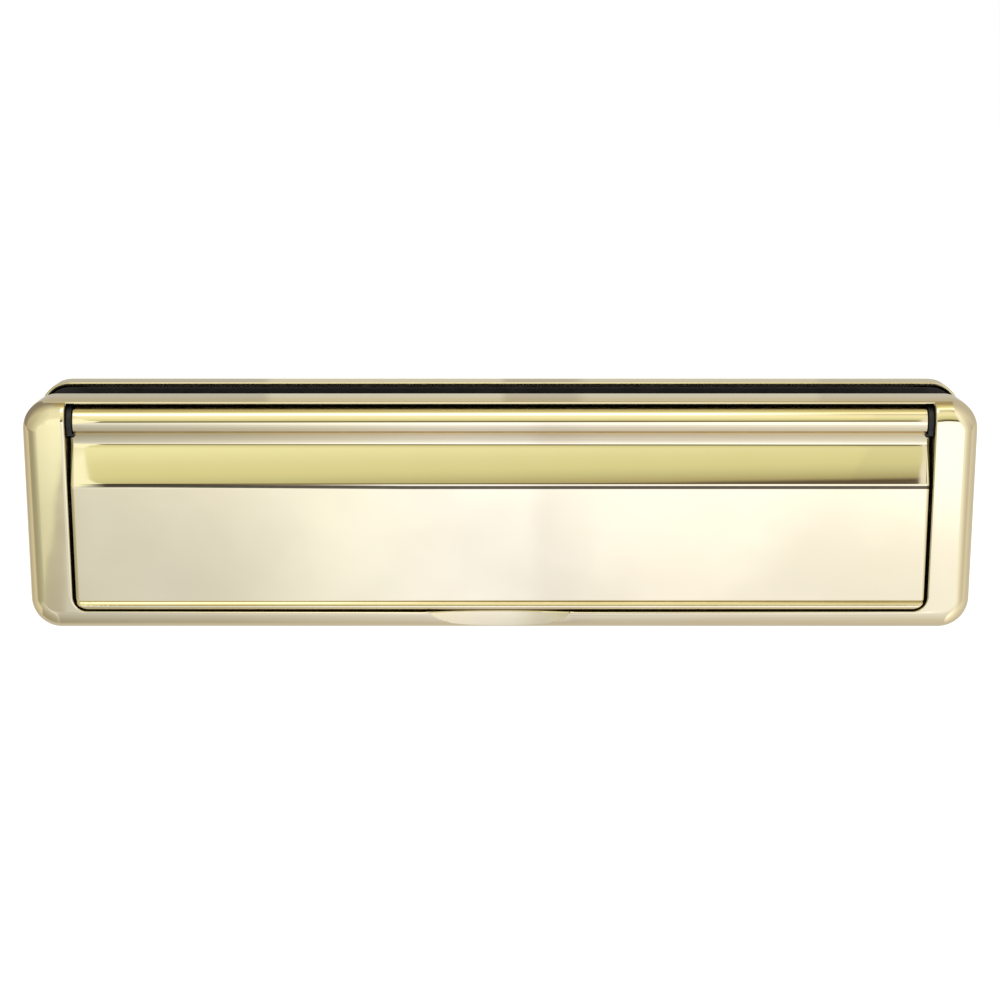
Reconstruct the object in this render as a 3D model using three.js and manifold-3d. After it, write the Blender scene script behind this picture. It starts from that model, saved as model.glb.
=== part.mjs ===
// A telescopic letterplate for a door: a gold plate with a lifting flap on each face of the door, joined
// through the door by two black plastic sleeves that slide one inside the other, and by two long bolts.
// Millimetres. +Z is up, +X runs along the plates, and -Y is the street. The origin is the centre of the
// whole fitting, at mid height, half way through the door. Both halves are the same set of parts: the inner
// half is the outer one turned round, apart from its narrower sleeve and its bolts.
import * as THREE from "three";
import { mergeVertices } from "three/addons/utils/BufferGeometryUtils.js";
import Module from "manifold-3d";

// ---- Driving dimensions. Depths are measured from the front of a plate towards the door. ----

// Plate: a thin cast shell with rounded edges, open at the back.
const plateWidth = 310;
const plateHeight = 76.7;
const plateDepth = 14;
const plateWall = 1.2;
const cornerRadius = 10;
const topRoll = 7.7;
const sideRoll = 5.5;
const bottomRoll = 4.7;
const bottomRollReach = 6.2;

// Flap opening in the plate, with the walls that turn back from its edge.
const borderSide = 14.45;
const borderBottom = 6.2;
const lipThickness = 1.5;
const openingCorner = 5;
const returnWall = 1.3;
const returnGap = 0.4;

// Finger scallop in the middle of the bottom border.
const scallopWidth = 46;
const scallopDepth = 2.2;
const scallopTilt = 7;
const scallopPad = 3.6;

// Flap: one section from end to end. From the top: a round hinge barrel, a groove under it, a bowed slope
// that comes forward, a flat face, and a lip. A tilt is how far a surface looks upwards, in degrees. The
// slope's top is placed from the pivot.
const flapWall = 1.8;
const flapSideGap = 1.05;
const flapBottomGap = 0.7;
const flapCorner = 4;
const faceRecess = 0.5;
const faceStep = 0.15;
const slopeFootDrop = 28.5;
const slopeFootTilt = 8;
const slopeTopInFront = 2.83;
const slopeTopBelow = 7.63;
const grooveRadius = 5.7;
const grooveFootTilt = 8;
const grooveTopTilt = -33;
const barrelRadius = 5.3;
const barrelShortening = 1.2;
const noseRadius = 0.8;
const noseTilt = -27;
const pivotBelowTop = 7.75;
const lipProud = 0.9;
const lipRoll = 2;
const lipUnderRoll = 1.15;

// Hinge.
const rodRadius = 1.6;
const rodPastWall = 2.6;
const runningGap = 0.3;
const capSpigotLength = 5;
const capSpigotWall = 1;
const capFootHeight = 0.9;
const capFootReach = 1.1;
const pivotBossWall = 1.5;
const pivotBossLength = 3;

// Torsion springs, two to a flap, each in a pocket cut in the back of the barrel.
const springWire = 0.8;
const springClearance = 0.6;
const springPocketWall = 1.6;
const springTurns = 5;
const springPitch = 1.1;
const springFromBarrelEnd = 54.3;
const springPocketLength = 16;
const springLegOnFlap = 10.6;
const springLegOnChassis = 8;

// Chassis: the black moulding behind each plate, with its sleeve.
const flangeFromRim = 1.2;
const flangeThickness = 2;
const flangeEdgeGap = 0.5;
const apertureFromEdge = 19.35;
const sleeveWall = 1.8;
const slideGap = 0.35;
const sleeveEndGap = 0.5;
const sealThickness = 1.3;

// Door and fixings.
const doorGap = 19.3;
const fixingGap = 0.4;
const boltRadius = 2.5;
const boltHeadRadius = 4.6;
const boltHeadHeight = 2.8;
const boltRecess = 1.4;
const boltRecessDepth = 1.6;
const postRadius = 3.7;
const postHeadRadius = 4.2;
const postHeadHeight = 1.9;
const screwFromSide = 7;
const screwFromEdge = 14.35;
const screwRadius = 1.4;
const screwHeadRadius = 2.8;
const screwHeadHeight = 1.4;
const screwLength = 7;
const screwBossRadius = 3.4;

// Gaskets: a foam ring behind each chassis, a little proud of the plate's rim.
const gasketProud = 0.5;
const gasketWidth = 9.5;

// Gap between pieces that touch.
const fit = 0.3;

// ---- Worked out from the above ----

const halfWidth = plateWidth / 2;
const halfHeight = plateHeight / 2;
const openingHalfWidth = halfWidth - borderSide;
const openingBottom = borderBottom - halfHeight;
const openingTop = halfHeight - lipThickness;
const flapHalfWidth = openingHalfWidth - flapSideGap;
const barrelHalfWidth = flapHalfWidth - barrelShortening;
const flapBottom = openingBottom + flapBottomGap;
const pivotHeight = halfHeight - pivotBelowTop;
const springFromCentre = barrelHalfWidth - springFromBarrelEnd;
const flangeBack = plateDepth - flangeFromRim;
const flangeFront = flangeBack - flangeThickness;
const springCoilRadius = barrelRadius - springPocketWall - fit - springWire / 2;
const pivotDepth = flangeFront - springClearance - springWire / 2 - springCoilRadius;
const returnDepth = flangeFront - returnGap;
const boltFromCentre = openingHalfWidth - boltHeadRadius - fixingGap;
const outerSleeveSide = boltFromCentre - postHeadRadius - fixingGap;
const apertureWidth = 2 * (outerSleeveSide - 2 * sleeveWall - slideGap);
const apertureHeight = plateHeight - 2 * apertureFromEdge;
const totalDepth = 2 * plateDepth + doorGap;
const sleeveEnd = totalDepth - flangeBack - sleeveEndGap;
const outerSleeveWidth = apertureWidth + 2 * (sleeveWall + slideGap);
const outerSleeveHeight = apertureHeight + 2 * (sleeveWall + slideGap);
const rodHole = rodRadius + runningGap;
const pivotBossRadius = rodHole + pivotBossWall;
const far = 1000;

const wasm = await Module();
wasm.setup();

// ---- Geometry helpers ----

// A closed three.js geometry as a solid that can be joined and cut.
function solid(geometry) {
  const bare = geometry.index ? geometry.toNonIndexed() : geometry.clone();
  bare.deleteAttribute("normal");
  bare.deleteAttribute("uv");
  const merged = mergeVertices(bare, 1e-4);
  return new wasm.Manifold(
    new wasm.Mesh({
      numProp: 3,
      vertProperties: merged.attributes.position.array,
      triVerts: new Uint32Array(merged.index.array),
    }),
  );
}

function geometryOf(manifold) {
  const mesh = manifold.getMesh();
  const geometry = new THREE.BufferGeometry();
  geometry.setAttribute("position", new THREE.BufferAttribute(mesh.vertProperties, 3));
  geometry.setIndex(new THREE.BufferAttribute(mesh.triVerts, 1));
  geometry.computeVertexNormals();
  return geometry;
}

const joined = (...solids) => solids.reduce((a, b) => a.add(b));

function pull(shape, depth, curveSegments) {
  return new THREE.ExtrudeGeometry(shape, { depth, bevelEnabled: false, curveSegments });
}

// A shape drawn in depth (Y) and height (Z), pulled along X.
function alongX(shape, low, high, curveSegments = 5) {
  const turn = new THREE.Matrix4().makeBasis(
    new THREE.Vector3(0, 1, 0),
    new THREE.Vector3(0, 0, 1),
    new THREE.Vector3(1, 0, 0),
  );
  return solid(pull(shape, high - low, curveSegments).applyMatrix4(turn).translate(low, 0, 0));
}

// A shape drawn in X and Z, pulled along Y.
function alongY(shape, low, high, curveSegments = 3) {
  return solid(pull(shape, high - low, curveSegments).rotateX(Math.PI / 2).translate(0, high, 0));
}

function box(x, y, z) {
  const size = [x, y, z].map(([low, high]) => high - low);
  const middle = [x, y, z].map(([low, high]) => (low + high) / 2);
  return solid(new THREE.BoxGeometry(...size).translate(...middle));
}

function rodAlongX(radius, low, high, y, z, sides = 16) {
  const turned = new THREE.CylinderGeometry(radius, radius, high - low, sides).rotateZ(Math.PI / 2);
  return solid(turned.translate((low + high) / 2, y, z));
}

// A round bar along Y whose radius may change from its low end to its high end.
function rodAlongY(radiusLow, radiusHigh, low, high, x, z, sides = 12) {
  const turned = new THREE.CylinderGeometry(radiusHigh, radiusLow, high - low, sides);
  return solid(turned.translate(x, (low + high) / 2, z));
}

function rectangle(left, right, bottom, top, radius = 0) {
  const shape = new THREE.Shape();
  const quarter = Math.PI / 2;
  if (radius <= 0) {
    return shape.moveTo(left, bottom).lineTo(right, bottom).lineTo(right, top).lineTo(left, top);
  }
  shape.absarc(right - radius, bottom + radius, radius, -quarter, 0);
  shape.absarc(right - radius, top - radius, radius, 0, quarter);
  shape.absarc(left + radius, top - radius, radius, quarter, 2 * quarter);
  shape.absarc(left + radius, bottom + radius, radius, 2 * quarter, 3 * quarter);
  return shape;
}

function ring(outer, inner, low, high) {
  return alongY(outer, low, high).subtract(alongY(inner, low - 1, high + 1));
}

// ---- Plate ----

const cornerSteps = 5;
const rollSteps = 5;

// Points round the plate's outline, each with its outward direction.
function plateOutline(inset) {
  const corners = [[1, 1], [-1, 1], [-1, -1], [1, -1]];
  const radius = cornerRadius - inset;
  const centreX = halfWidth - cornerRadius;
  const centreZ = halfHeight - cornerRadius;
  return corners.flatMap(([sideX, sideZ], quarter) =>
    Array.from({ length: cornerSteps + 1 }, (_, step) => {
      const angle = (quarter + step / cornerSteps) * (Math.PI / 2);
      const normal = new THREE.Vector2(Math.cos(angle), Math.sin(angle));
      const centre = new THREE.Vector2(sideX * centreX, sideZ * centreZ);
      return { normal, point: centre.addScaledVector(normal, radius) };
    }),
  );
}

// The roll between the front and the edge: wide along the top, tighter at the sides and bottom. It is how
// far the roll runs back, and along the bottom it reaches further up the front than that.
function rollDepth(normal) {
  const vertical = normal.y > 0 ? topRoll : bottomRoll;
  return sideRoll * normal.x ** 2 + vertical * normal.y ** 2;
}

function rollReach(normal) {
  const vertical = normal.y > 0 ? topRoll : bottomRollReach;
  return sideRoll * normal.x ** 2 + vertical * normal.y ** 2;
}

// The plate's outside, shrunk all round by an inset, from its front to the given depth.
function plateBody(inset, back) {
  const outline = plateOutline(inset);
  const rings = Array.from({ length: rollSteps + 1 }, (_, step) => {
    const angle = (1 - step / rollSteps) * (Math.PI / 2);
    return outline.map(({ normal, point }) => {
      const roll = Math.max(rollDepth(normal) - inset, 0.2);
      const reach = Math.max(rollReach(normal) - inset, 0.2);
      const at = point.clone().addScaledVector(normal, -reach * (1 - Math.cos(angle)));
      return [at.x, inset + roll * (1 - Math.sin(angle)), at.y];
    });
  });
  rings.push(outline.map(({ point }) => [point.x, back, point.y]));
  return solid(closedLoft(rings));
}

// Rings of as many points each, joined in order and capped at both ends.
function closedLoft(rings) {
  const count = rings[0].length;
  const positions = rings.flat(2);
  const index = [];
  for (let r = 0; r + 1 < rings.length; r++) {
    for (let i = 0; i < count; i++) {
      const j = (i + 1) % count;
      const [a, b, c, d] = [r * count + i, r * count + j, (r + 1) * count + i, (r + 1) * count + j];
      index.push(a, c, b, b, c, d);
    }
  }
  const last = (rings.length - 1) * count;
  const flat = (points) => points.map(([x, , z]) => new THREE.Vector2(x, z));
  for (const [a, b, c] of THREE.ShapeUtils.triangulateShape(flat(rings[0]), [])) index.push(a, b, c);
  for (const [a, b, c] of THREE.ShapeUtils.triangulateShape(flat(rings.at(-1)), [])) {
    index.push(last + a, last + c, last + b);
  }
  const geometry = new THREE.BufferGeometry();
  geometry.setAttribute("position", new THREE.Float32BufferAttribute(positions, 3));
  geometry.setIndex(index);
  return geometry;
}

// The flap opening's outline, grown all round: square at the top, rounded at the bottom.
function openingShape(grow) {
  const left = -openingHalfWidth - grow;
  const right = openingHalfWidth + grow;
  const bottom = openingBottom - grow;
  const radius = openingCorner + grow;
  const shape = new THREE.Shape();
  shape.moveTo(right, openingTop);
  shape.lineTo(left, openingTop);
  shape.absarc(left + radius, bottom + radius, radius, Math.PI, 1.5 * Math.PI);
  shape.absarc(right - radius, bottom + radius, radius, 1.5 * Math.PI, 2 * Math.PI);
  return shape;
}

// The shallow hollow that lets a fingertip under the flap, deepest in the middle of the border.
function scallopCut() {
  const steps = 10;
  const shape = new THREE.Shape();
  shape.moveTo(-scallopWidth / 2, 0);
  for (let step = 1; step < steps; step++) {
    const across = (2 * step) / steps - 1;
    shape.lineTo((across * scallopWidth) / 2, scallopDepth * (1 - Math.abs(across) ** 2.6));
  }
  shape.lineTo(scallopWidth / 2, 0);
  shape.lineTo(scallopWidth / 2, -5);
  shape.lineTo(-scallopWidth / 2, -5);
  const height = borderBottom + 10;
  const cutter = pull(shape, height, 1).translate(0, 0, 1 - height);
  cutter.rotateX(THREE.MathUtils.degToRad(-scallopTilt));
  return solid(cutter.translate(0, 0, openingBottom));
}

function screwPlaces() {
  const places = [];
  for (const x of [-1, 1]) {
    for (const z of [-1, 1]) {
      places.push([x * (halfWidth - screwFromSide), z * (halfHeight - screwFromEdge)]);
    }
  }
  return places;
}

function plate() {
  const outside = plateBody(0, plateDepth);
  const hollow = plateBody(plateWall, plateDepth + 1);
  const returns = alongY(openingShape(returnWall), 0, returnDepth);
  const pad = box(
    [-scallopWidth / 2 - 2, scallopWidth / 2 + 2],
    [0, scallopPad],
    [-halfHeight, openingBottom],
  );
  const bosses = screwPlaces().map(([x, z]) =>
    rodAlongY(screwBossRadius, screwBossRadius, plateWall / 2, flangeFront - fit, x, z),
  );
  const pivots = [-1, 1].map((side) => {
    const inner = openingHalfWidth + returnWall / 2;
    const outer = openingHalfWidth + returnWall + pivotBossLength;
    return rodAlongX(pivotBossRadius, ...span(side, inner, outer), pivotDepth, pivotHeight);
  });
  const inside = joined(returns, pad).intersect(outside);
  const shell = joined(outside.subtract(hollow), inside, ...bosses, ...pivots);
  const cuts = [
    alongY(openingShape(0), -1, plateDepth + 1),
    scallopCut(),
    rodAlongX(rodHole, -halfWidth + borderSide / 2, halfWidth - borderSide / 2, pivotDepth, pivotHeight),
    ...screwPlaces().map(([x, z]) => {
      const hole = screwRadius + fit;
      return rodAlongY(hole, hole, flangeBack - screwLength - 1, flangeFront, x, z, 8);
    }),
  ];
  return cuts.reduce((body, cut) => body.subtract(cut), shell);
}

// Low and high end of a stretch that lies from inner to outer on one side of the middle.
function span(side, inner, outer) {
  return side > 0 ? [inner, outer] : [-outer, -inner];
}

// ---- Flap ----

// On the flap's section, depth is x and height is y. A round front surface of a given radius faces
// outwards at the angle of its tilt, and a hollow one faces its own centre.
const outward = (tilt) => Math.PI - THREE.MathUtils.degToRad(tilt);
const hollowed = (tilt) => -THREE.MathUtils.degToRad(tilt);

function polar(centre, radius, angle) {
  return new THREE.Vector2(centre.x + radius * Math.cos(angle), centre.y + radius * Math.sin(angle));
}

const pivot = new THREE.Vector2(pivotDepth, pivotHeight);
const slopeFoot = new THREE.Vector2(faceRecess + faceStep, halfHeight - slopeFootDrop);
const slopeTop = new THREE.Vector2(pivotDepth - slopeTopInFront, pivotHeight - slopeTopBelow);
const slopeMeanTilt = Math.atan2(slopeTop.x - slopeFoot.x, slopeTop.y - slopeFoot.y);
const slopeTopTilt = 2 * THREE.MathUtils.radToDeg(slopeMeanTilt) - slopeFootTilt;
const slopeTurn = THREE.MathUtils.degToRad(slopeTopTilt - slopeFootTilt);
const slopeRadius = slopeFoot.distanceTo(slopeTop) / (2 * Math.sin(slopeTurn / 2));
const slopeCentre = polar(slopeFoot, -slopeRadius, outward(slopeFootTilt));
const grooveCentre = polar(slopeTop, -grooveRadius, hollowed(grooveFootTilt));
const grooveTop = polar(grooveCentre, grooveRadius, hollowed(grooveTopTilt));
const noseCentre = polar(pivot, barrelRadius - noseRadius, outward(noseTilt));
const faceBack = faceRecess + flapWall;
const capBottom = grooveTop.y - capFootHeight;
const shoulder = capBottom - fit;

const angleFrom = (centre, point) => Math.atan2(point.y - centre.y, point.x - centre.x);

// The angle on a circle at which the line from a point outside touches it, on its lower front side.
function touchAngle(centre, radius, point) {
  const apart = centre.distanceTo(point);
  return angleFrom(centre, point) + 2 * Math.PI - Math.acos(Math.min(radius / apart, 1));
}

// Where two circles cross, on the side towards the back.
function backCrossing(centreA, radiusA, centreB, radiusB) {
  const apart = centreA.distanceTo(centreB);
  const along = (radiusA ** 2 - radiusB ** 2 + apart ** 2) / (2 * apart);
  const angle = Math.acos(Math.min(along / radiusA, 1));
  return polar(centreA, radiusA, angleFrom(centreA, centreB) - angle);
}

// The depth of the flap's back surface at a height.
function flapBack(height) {
  if (height >= slopeTop.y) return grooveCentre.x + grooveRadius + flapWall;
  const curve = slopeRadius - flapWall;
  const behindSlope = slopeCentre.x - Math.sqrt(Math.max(curve ** 2 - (height - slopeCentre.y) ** 2, 0));
  return height > slopeCentre.y ? Math.max(behindSlope, faceBack) : faceBack;
}

function flapSection() {
  const lipFront = faceRecess - lipProud;
  const lipHeight = flapBottom + lipUnderRoll;
  const lipArc = Math.acos(Math.max(1 - lipProud / lipRoll, -1));
  const grooveBack = grooveRadius + flapWall;
  const slopeBack = slopeRadius - flapWall;
  const heel = backCrossing(grooveCentre, grooveBack, pivot, barrelRadius);
  const slopeBackEnd = Math.PI - Math.acos(Math.min((slopeCentre.x - faceBack) / slopeBack, 1));
  const slopeFront = outward(slopeFootTilt);
  const slopeEnd = outward(slopeTopTilt);
  const grooveStart = hollowed(grooveFootTilt);

  const section = new THREE.Shape();
  section.moveTo(faceBack, flapBottom);
  section.lineTo(lipFront + lipUnderRoll, flapBottom);
  section.absarc(lipFront + lipUnderRoll, lipHeight, lipUnderRoll, 1.5 * Math.PI, Math.PI, true);
  section.absarc(lipFront + lipRoll, lipHeight, lipRoll, Math.PI, Math.PI - lipArc, true);
  section.lineTo(faceRecess, slopeFoot.y - faceStep);
  section.absarc(slopeCentre.x, slopeCentre.y, slopeRadius, slopeFront, slopeEnd, true);
  section.absarc(grooveCentre.x, grooveCentre.y, grooveRadius, grooveStart, hollowed(grooveTopTilt));
  const noseStart = touchAngle(noseCentre, noseRadius, grooveTop);
  section.absarc(noseCentre.x, noseCentre.y, noseRadius, noseStart, outward(noseTilt), true);
  section.absarc(pivot.x, pivot.y, barrelRadius, outward(noseTilt), angleFrom(pivot, heel), true);
  const heelEnd = angleFrom(grooveCentre, heel);
  section.absarc(grooveCentre.x, grooveCentre.y, grooveBack, heelEnd, grooveStart, true);
  section.absarc(slopeCentre.x, slopeCentre.y, slopeBack, slopeEnd, slopeBackEnd);
  return section;
}

// The flap from the front: the panel with rounded bottom corners, and the shorter barrel above it.
function flapFront() {
  const shape = new THREE.Shape();
  shape.moveTo(barrelHalfWidth, halfHeight);
  shape.lineTo(-barrelHalfWidth, halfHeight);
  shape.lineTo(-barrelHalfWidth, shoulder);
  shape.lineTo(-flapHalfWidth, shoulder);
  const corner = flapBottom + flapCorner;
  shape.absarc(-flapHalfWidth + flapCorner, corner, flapCorner, Math.PI, 1.5 * Math.PI);
  shape.absarc(flapHalfWidth - flapCorner, corner, flapCorner, 1.5 * Math.PI, 2 * Math.PI);
  shape.lineTo(flapHalfWidth, shoulder);
  shape.lineTo(barrelHalfWidth, shoulder);
  return shape;
}

const springPocketRadius = springCoilRadius + springWire / 2 + fit;

function flap() {
  const panel = alongX(flapSection(), -flapHalfWidth, flapHalfWidth);
  const front = alongY(flapFront(), -far, far);
  const spigotHole = rodHole + capSpigotWall + fit;
  const pocketHalf = springPocketLength / 2;
  const pocketHeight = [pivotHeight - barrelRadius - fit, pivotHeight + springPocketRadius + fit];
  const cuts = [rodAlongX(rodHole, -far, far, pivotDepth, pivotHeight)];
  for (const side of [-1, 1]) {
    const seat = span(side, barrelHalfWidth - capSpigotLength - fit, far);
    cuts.push(rodAlongX(spigotHole, ...seat, pivotDepth, pivotHeight));
    const pocket = span(side, springFromCentre - pocketHalf, springFromCentre + pocketHalf);
    cuts.push(rodAlongX(springPocketRadius, ...pocket, pivotDepth, pivotHeight));
    cuts.push(box(pocket, [pivotDepth + springWire, far], pocketHeight));
  }
  return cuts.reduce((body, cut) => body.subtract(cut), panel.intersect(front));
}

// A black bush in each end of the barrel, cut off level with a toe that reaches into the groove below it.
function hingeCap(side) {
  const inner = barrelHalfWidth + fit;
  const outer = openingHalfWidth - fit;
  const disc = rodAlongX(barrelRadius, ...span(side, inner, outer), pivotDepth, pivotHeight);
  const stemEnds = span(side, barrelHalfWidth - capSpigotLength, inner + 0.1);
  const stem = rodAlongX(rodHole + capSpigotWall, ...stemEnds, pivotDepth, pivotHeight);
  const toeDepth = [noseCentre.x - noseRadius, grooveTop.x - fit];
  const leg = box(span(side, inner, outer), [toeDepth[0], pivotDepth], [capBottom, noseCentre.y]);
  const toe = box(span(side, inner - capFootReach, inner + 0.1), toeDepth, [capBottom, grooveTop.y - fit]);
  const below = box([-far, far], [-far, far], [-far, capBottom]);
  const bore = rodAlongX(rodHole, -far, far, pivotDepth, pivotHeight);
  return joined(disc, stem, leg, toe).subtract(below).subtract(bore);
}

function hingeRod() {
  const end = openingHalfWidth + rodPastWall;
  return rodAlongX(rodRadius, -end, end, pivotDepth, pivotHeight, 16);
}

// The spring's line: down the back of the flap, round the rod, and down the front of the chassis.
class SpringLine extends THREE.Curve {
  constructor(side) {
    super();
    this.side = side;
    this.turns = Math.round(springTurns);
    this.coil = this.turns * 2 * Math.PI * springCoilRadius;
    this.total = springLegOnFlap + this.coil + springLegOnChassis;
  }

  getPoint(t, target = new THREE.Vector3()) {
    const length = t * this.total;
    const start = springFromCentre - (this.turns * springPitch) / 2;
    const rear = pivotDepth + springCoilRadius;
    const bendLength = springLegOnFlap / 3;
    if (length < springLegOnFlap) {
      const down = springLegOnFlap - length;
      const forward = Math.max(down - (springLegOnFlap - bendLength), 0) * 0.35;
      return target.set(this.side * start, rear - forward, pivotHeight - down);
    }
    if (length < springLegOnFlap + this.coil) {
      const turn = (length - springLegOnFlap) / this.coil;
      const angle = turn * this.turns * 2 * Math.PI;
      const x = start + turn * this.turns * springPitch;
      return target.set(
        this.side * x,
        pivotDepth + springCoilRadius * Math.cos(angle),
        pivotHeight + springCoilRadius * Math.sin(angle),
      );
    }
    const down = length - springLegOnFlap - this.coil;
    return target.set(this.side * (start + this.turns * springPitch), rear + 0.1, pivotHeight - down);
  }
}

function spring(side) {
  const wire = new THREE.Shape();
  wire.absarc(0, 0, springWire / 2, 0, 2 * Math.PI);
  const line = new SpringLine(side);
  const steps = line.turns * 8 + 10;
  return solid(new THREE.ExtrudeGeometry(wire, { steps, extrudePath: line, curveSegments: 3 }));
}

// ---- Chassis and sleeves ----

// The walls that stand forward of the flange beside and below the aperture, shaped to the flap's back.
function collarShape(clear, bottom, top) {
  const shape = new THREE.Shape();
  shape.moveTo(flangeFront + 1, bottom);
  const steps = 7;
  for (let step = 0; step <= steps; step++) {
    const height = bottom + ((top - bottom) * step) / steps;
    shape.lineTo(Math.min(flapBack(height) + clear, flangeFront + 0.5), height);
  }
  shape.lineTo(flangeFront + 1, top);
  return shape;
}

function collar(clear, width, height) {
  const bottom = -height / 2 - sleeveWall;
  const sides = [-1, 1].map((side) =>
    alongX(collarShape(clear, bottom, height / 2), ...span(side, width / 2, width / 2 + sleeveWall)),
  );
  const depth = flapBack(bottom) + clear;
  const outer = width / 2 + sleeveWall;
  const floor = box([-outer, outer], [depth, flangeFront + 0.5], [bottom, -height / 2]);
  return joined(...sides, floor);
}

// The long window in the flange that lets the barrel turn.
function barrelWindow() {
  const depth = flangeFront - pivotDepth;
  const half = Math.sqrt(Math.max(barrelRadius ** 2 - depth ** 2, 0)) + 2 * fit + runningGap;
  const end = openingHalfWidth;
  return box([-end, end], [flangeFront - 1, flangeBack + 1], [pivotHeight - half, pivotHeight + half]);
}

function chassis(width, height, sleeveStop, fixingHole) {
  const edge = plateWall + flangeEdgeGap;
  const outline = rectangle(
    edge - halfWidth, halfWidth - edge, edge - halfHeight, halfHeight - edge, cornerRadius - edge,
  );
  const inside = rectangle(-width / 2, width / 2, -height / 2, height / 2);
  const outside = rectangle(
    -width / 2 - sleeveWall, width / 2 + sleeveWall, -height / 2 - sleeveWall, height / 2 + sleeveWall, 1,
  );
  const body = joined(
    alongY(outline, flangeFront, flangeBack),
    alongY(outside, flangeBack - 1, sleeveStop),
    collar(sealThickness + 2 * fit, width, height),
  );
  const cuts = [alongY(inside, flangeFront - 1, sleeveStop + 1), barrelWindow()];
  for (const side of [-1, 1]) {
    const x = side * boltFromCentre;
    cuts.push(rodAlongY(fixingHole, fixingHole, flangeFront - 1, flangeBack + 1, x, 0));
  }
  const shankHole = screwRadius + fit;
  const headHole = screwHeadRadius + 1.5 * fit;
  const headFront = flangeBack - screwHeadHeight - fit;
  for (const [x, z] of screwPlaces()) {
    cuts.push(rodAlongY(shankHole, shankHole, flangeFront - 1, flangeBack + 1, x, z));
    cuts.push(rodAlongY(shankHole, headHole, headFront, flangeBack + 0.01, x, z));
  }
  return cuts.reduce((whole, cut) => whole.subtract(cut), body);
}

// The rubber strip on the collar that the closed flap rests on.
function flapSeal(width, height) {
  const strip = collar(fit, width, height);
  const clear = sealThickness + fit;
  const bottom = -height / 2 - sleeveWall;
  const outer = width / 2 + sleeveWall;
  const behindSides = alongX(collarShape(clear, bottom - 1, height / 2 + 1), -outer - 1, outer + 1);
  const top = heightWhereFlapMeetsFlange();
  const tooThin = box([-far, far], [-far, far], [top, far]);
  return strip.subtract(behindSides).subtract(tooThin);
}

// The height above which the flap's back comes too near the flange for a strip between them.
function heightWhereFlapMeetsFlange() {
  let height = 0;
  while (flapBack(height) + sealThickness + 3 * fit < flangeFront && height < halfHeight) height += 0.25;
  return Math.min(height, apertureHeight / 2);
}

function gasket() {
  const edge = plateWall + flangeEdgeGap;
  const outer = rectangle(
    edge - halfWidth, halfWidth - edge, edge - halfHeight, halfHeight - edge, cornerRadius - edge,
  );
  const hole = edge + gasketWidth;
  const inner = rectangle(hole - halfWidth, halfWidth - hole, hole - halfHeight, halfHeight - hole, 2);
  return ring(outer, inner, flangeBack + fit, plateDepth + gasketProud);
}

// ---- Fixings ----

// Countersunk screw that holds the chassis to the plate, driven from the back.
function chassisScrew([x, z]) {
  const back = flangeBack - 0.05;
  const head = rodAlongY(screwRadius, screwHeadRadius, back - screwHeadHeight, back, x, z);
  const shankEnd = back - screwHeadHeight + 0.1;
  const shank = rodAlongY(screwRadius * 0.6, screwRadius, back - screwLength, shankEnd, x, z, 8);
  const arm = screwHeadRadius * 0.55;
  const blade = screwRadius * 0.3;
  const slotLow = back - screwHeadHeight * 0.6;
  const cross = joined(
    box([x - arm, x + arm], [slotLow, back + 1], [z - blade, z + blade]),
    box([x - blade, x + blade], [slotLow, back + 1], [z - arm, z + arm]),
  );
  return joined(head, shank).subtract(cross);
}

// Sleeve nut: a round head in front of the outer flange, and a hollow shank that takes the bolt.
function post(side) {
  const x = side * boltFromCentre;
  const headBack = flangeFront - fit;
  const head = rodAlongY(postHeadRadius * 0.8, postHeadRadius, headBack - postHeadHeight, headBack, x, 0);
  const shank = rodAlongY(postRadius, postRadius, headBack - 0.1, sleeveEnd, x, 0);
  const bore = rodAlongY(boltRadius + fit, boltRadius + fit, headBack - fit, sleeveEnd + 1, x, 0);
  return joined(head, shank).subtract(bore);
}

// Pan head bolt, entered from the inner half. Its depth is measured from the inner plate's front.
function bolt(side) {
  const x = side * boltFromCentre;
  const headBack = flangeFront - fit;
  const headFront = headBack - boltHeadHeight;
  const tip = totalDepth - flangeFront - fit;
  const rim = headFront + boltHeadHeight * 0.45;
  const head = joined(
    rodAlongY(boltHeadRadius * 0.72, boltHeadRadius, headFront, rim, x, 0),
    rodAlongY(boltHeadRadius, boltHeadRadius, rim, headBack, x, 0),
  );
  const shank = rodAlongY(boltRadius, boltRadius, headBack - 0.1, tip - boltRadius / 2, x, 0);
  const point = rodAlongY(boltRadius, boltRadius / 2, tip - boltRadius / 2 - 0.05, tip, x, 0);
  const blade = boltRecess * 0.4;
  const arm = boltHeadRadius * 0.55;
  const front = [headFront - 1, headFront + boltRecessDepth];
  const cross = joined(
    box([x - arm, x + arm], front, [-blade, blade]),
    box([x - blade, x + blade], front, [-arm, arm]),
  );
  return joined(head, shank, point).subtract(cross);
}

// ---- Assembly ----

function material(color, roughness, metalness) {
  return new THREE.MeshStandardMaterial({ color, roughness, metalness });
}

const gold = material(0xd9c88c, 0.08, 1);
const steel = material(0xb9bcc0, 0.3, 1);
const springSteel = material(0x8f9296, 0.35, 1);
const blackPlastic = material(0x17171a, 0.5, 0);
const blackNylon = material(0x202124, 0.38, 0);
const rubber = material(0x101011, 0.75, 0);
const foam = material(0x131313, 0.85, 0);

const sides = [["left", -1], ["right", 1]];

function addTo(group, name, body, finish) {
  const mesh = new THREE.Mesh(geometryOf(body), finish);
  mesh.name = name;
  group.add(mesh);
}

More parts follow.
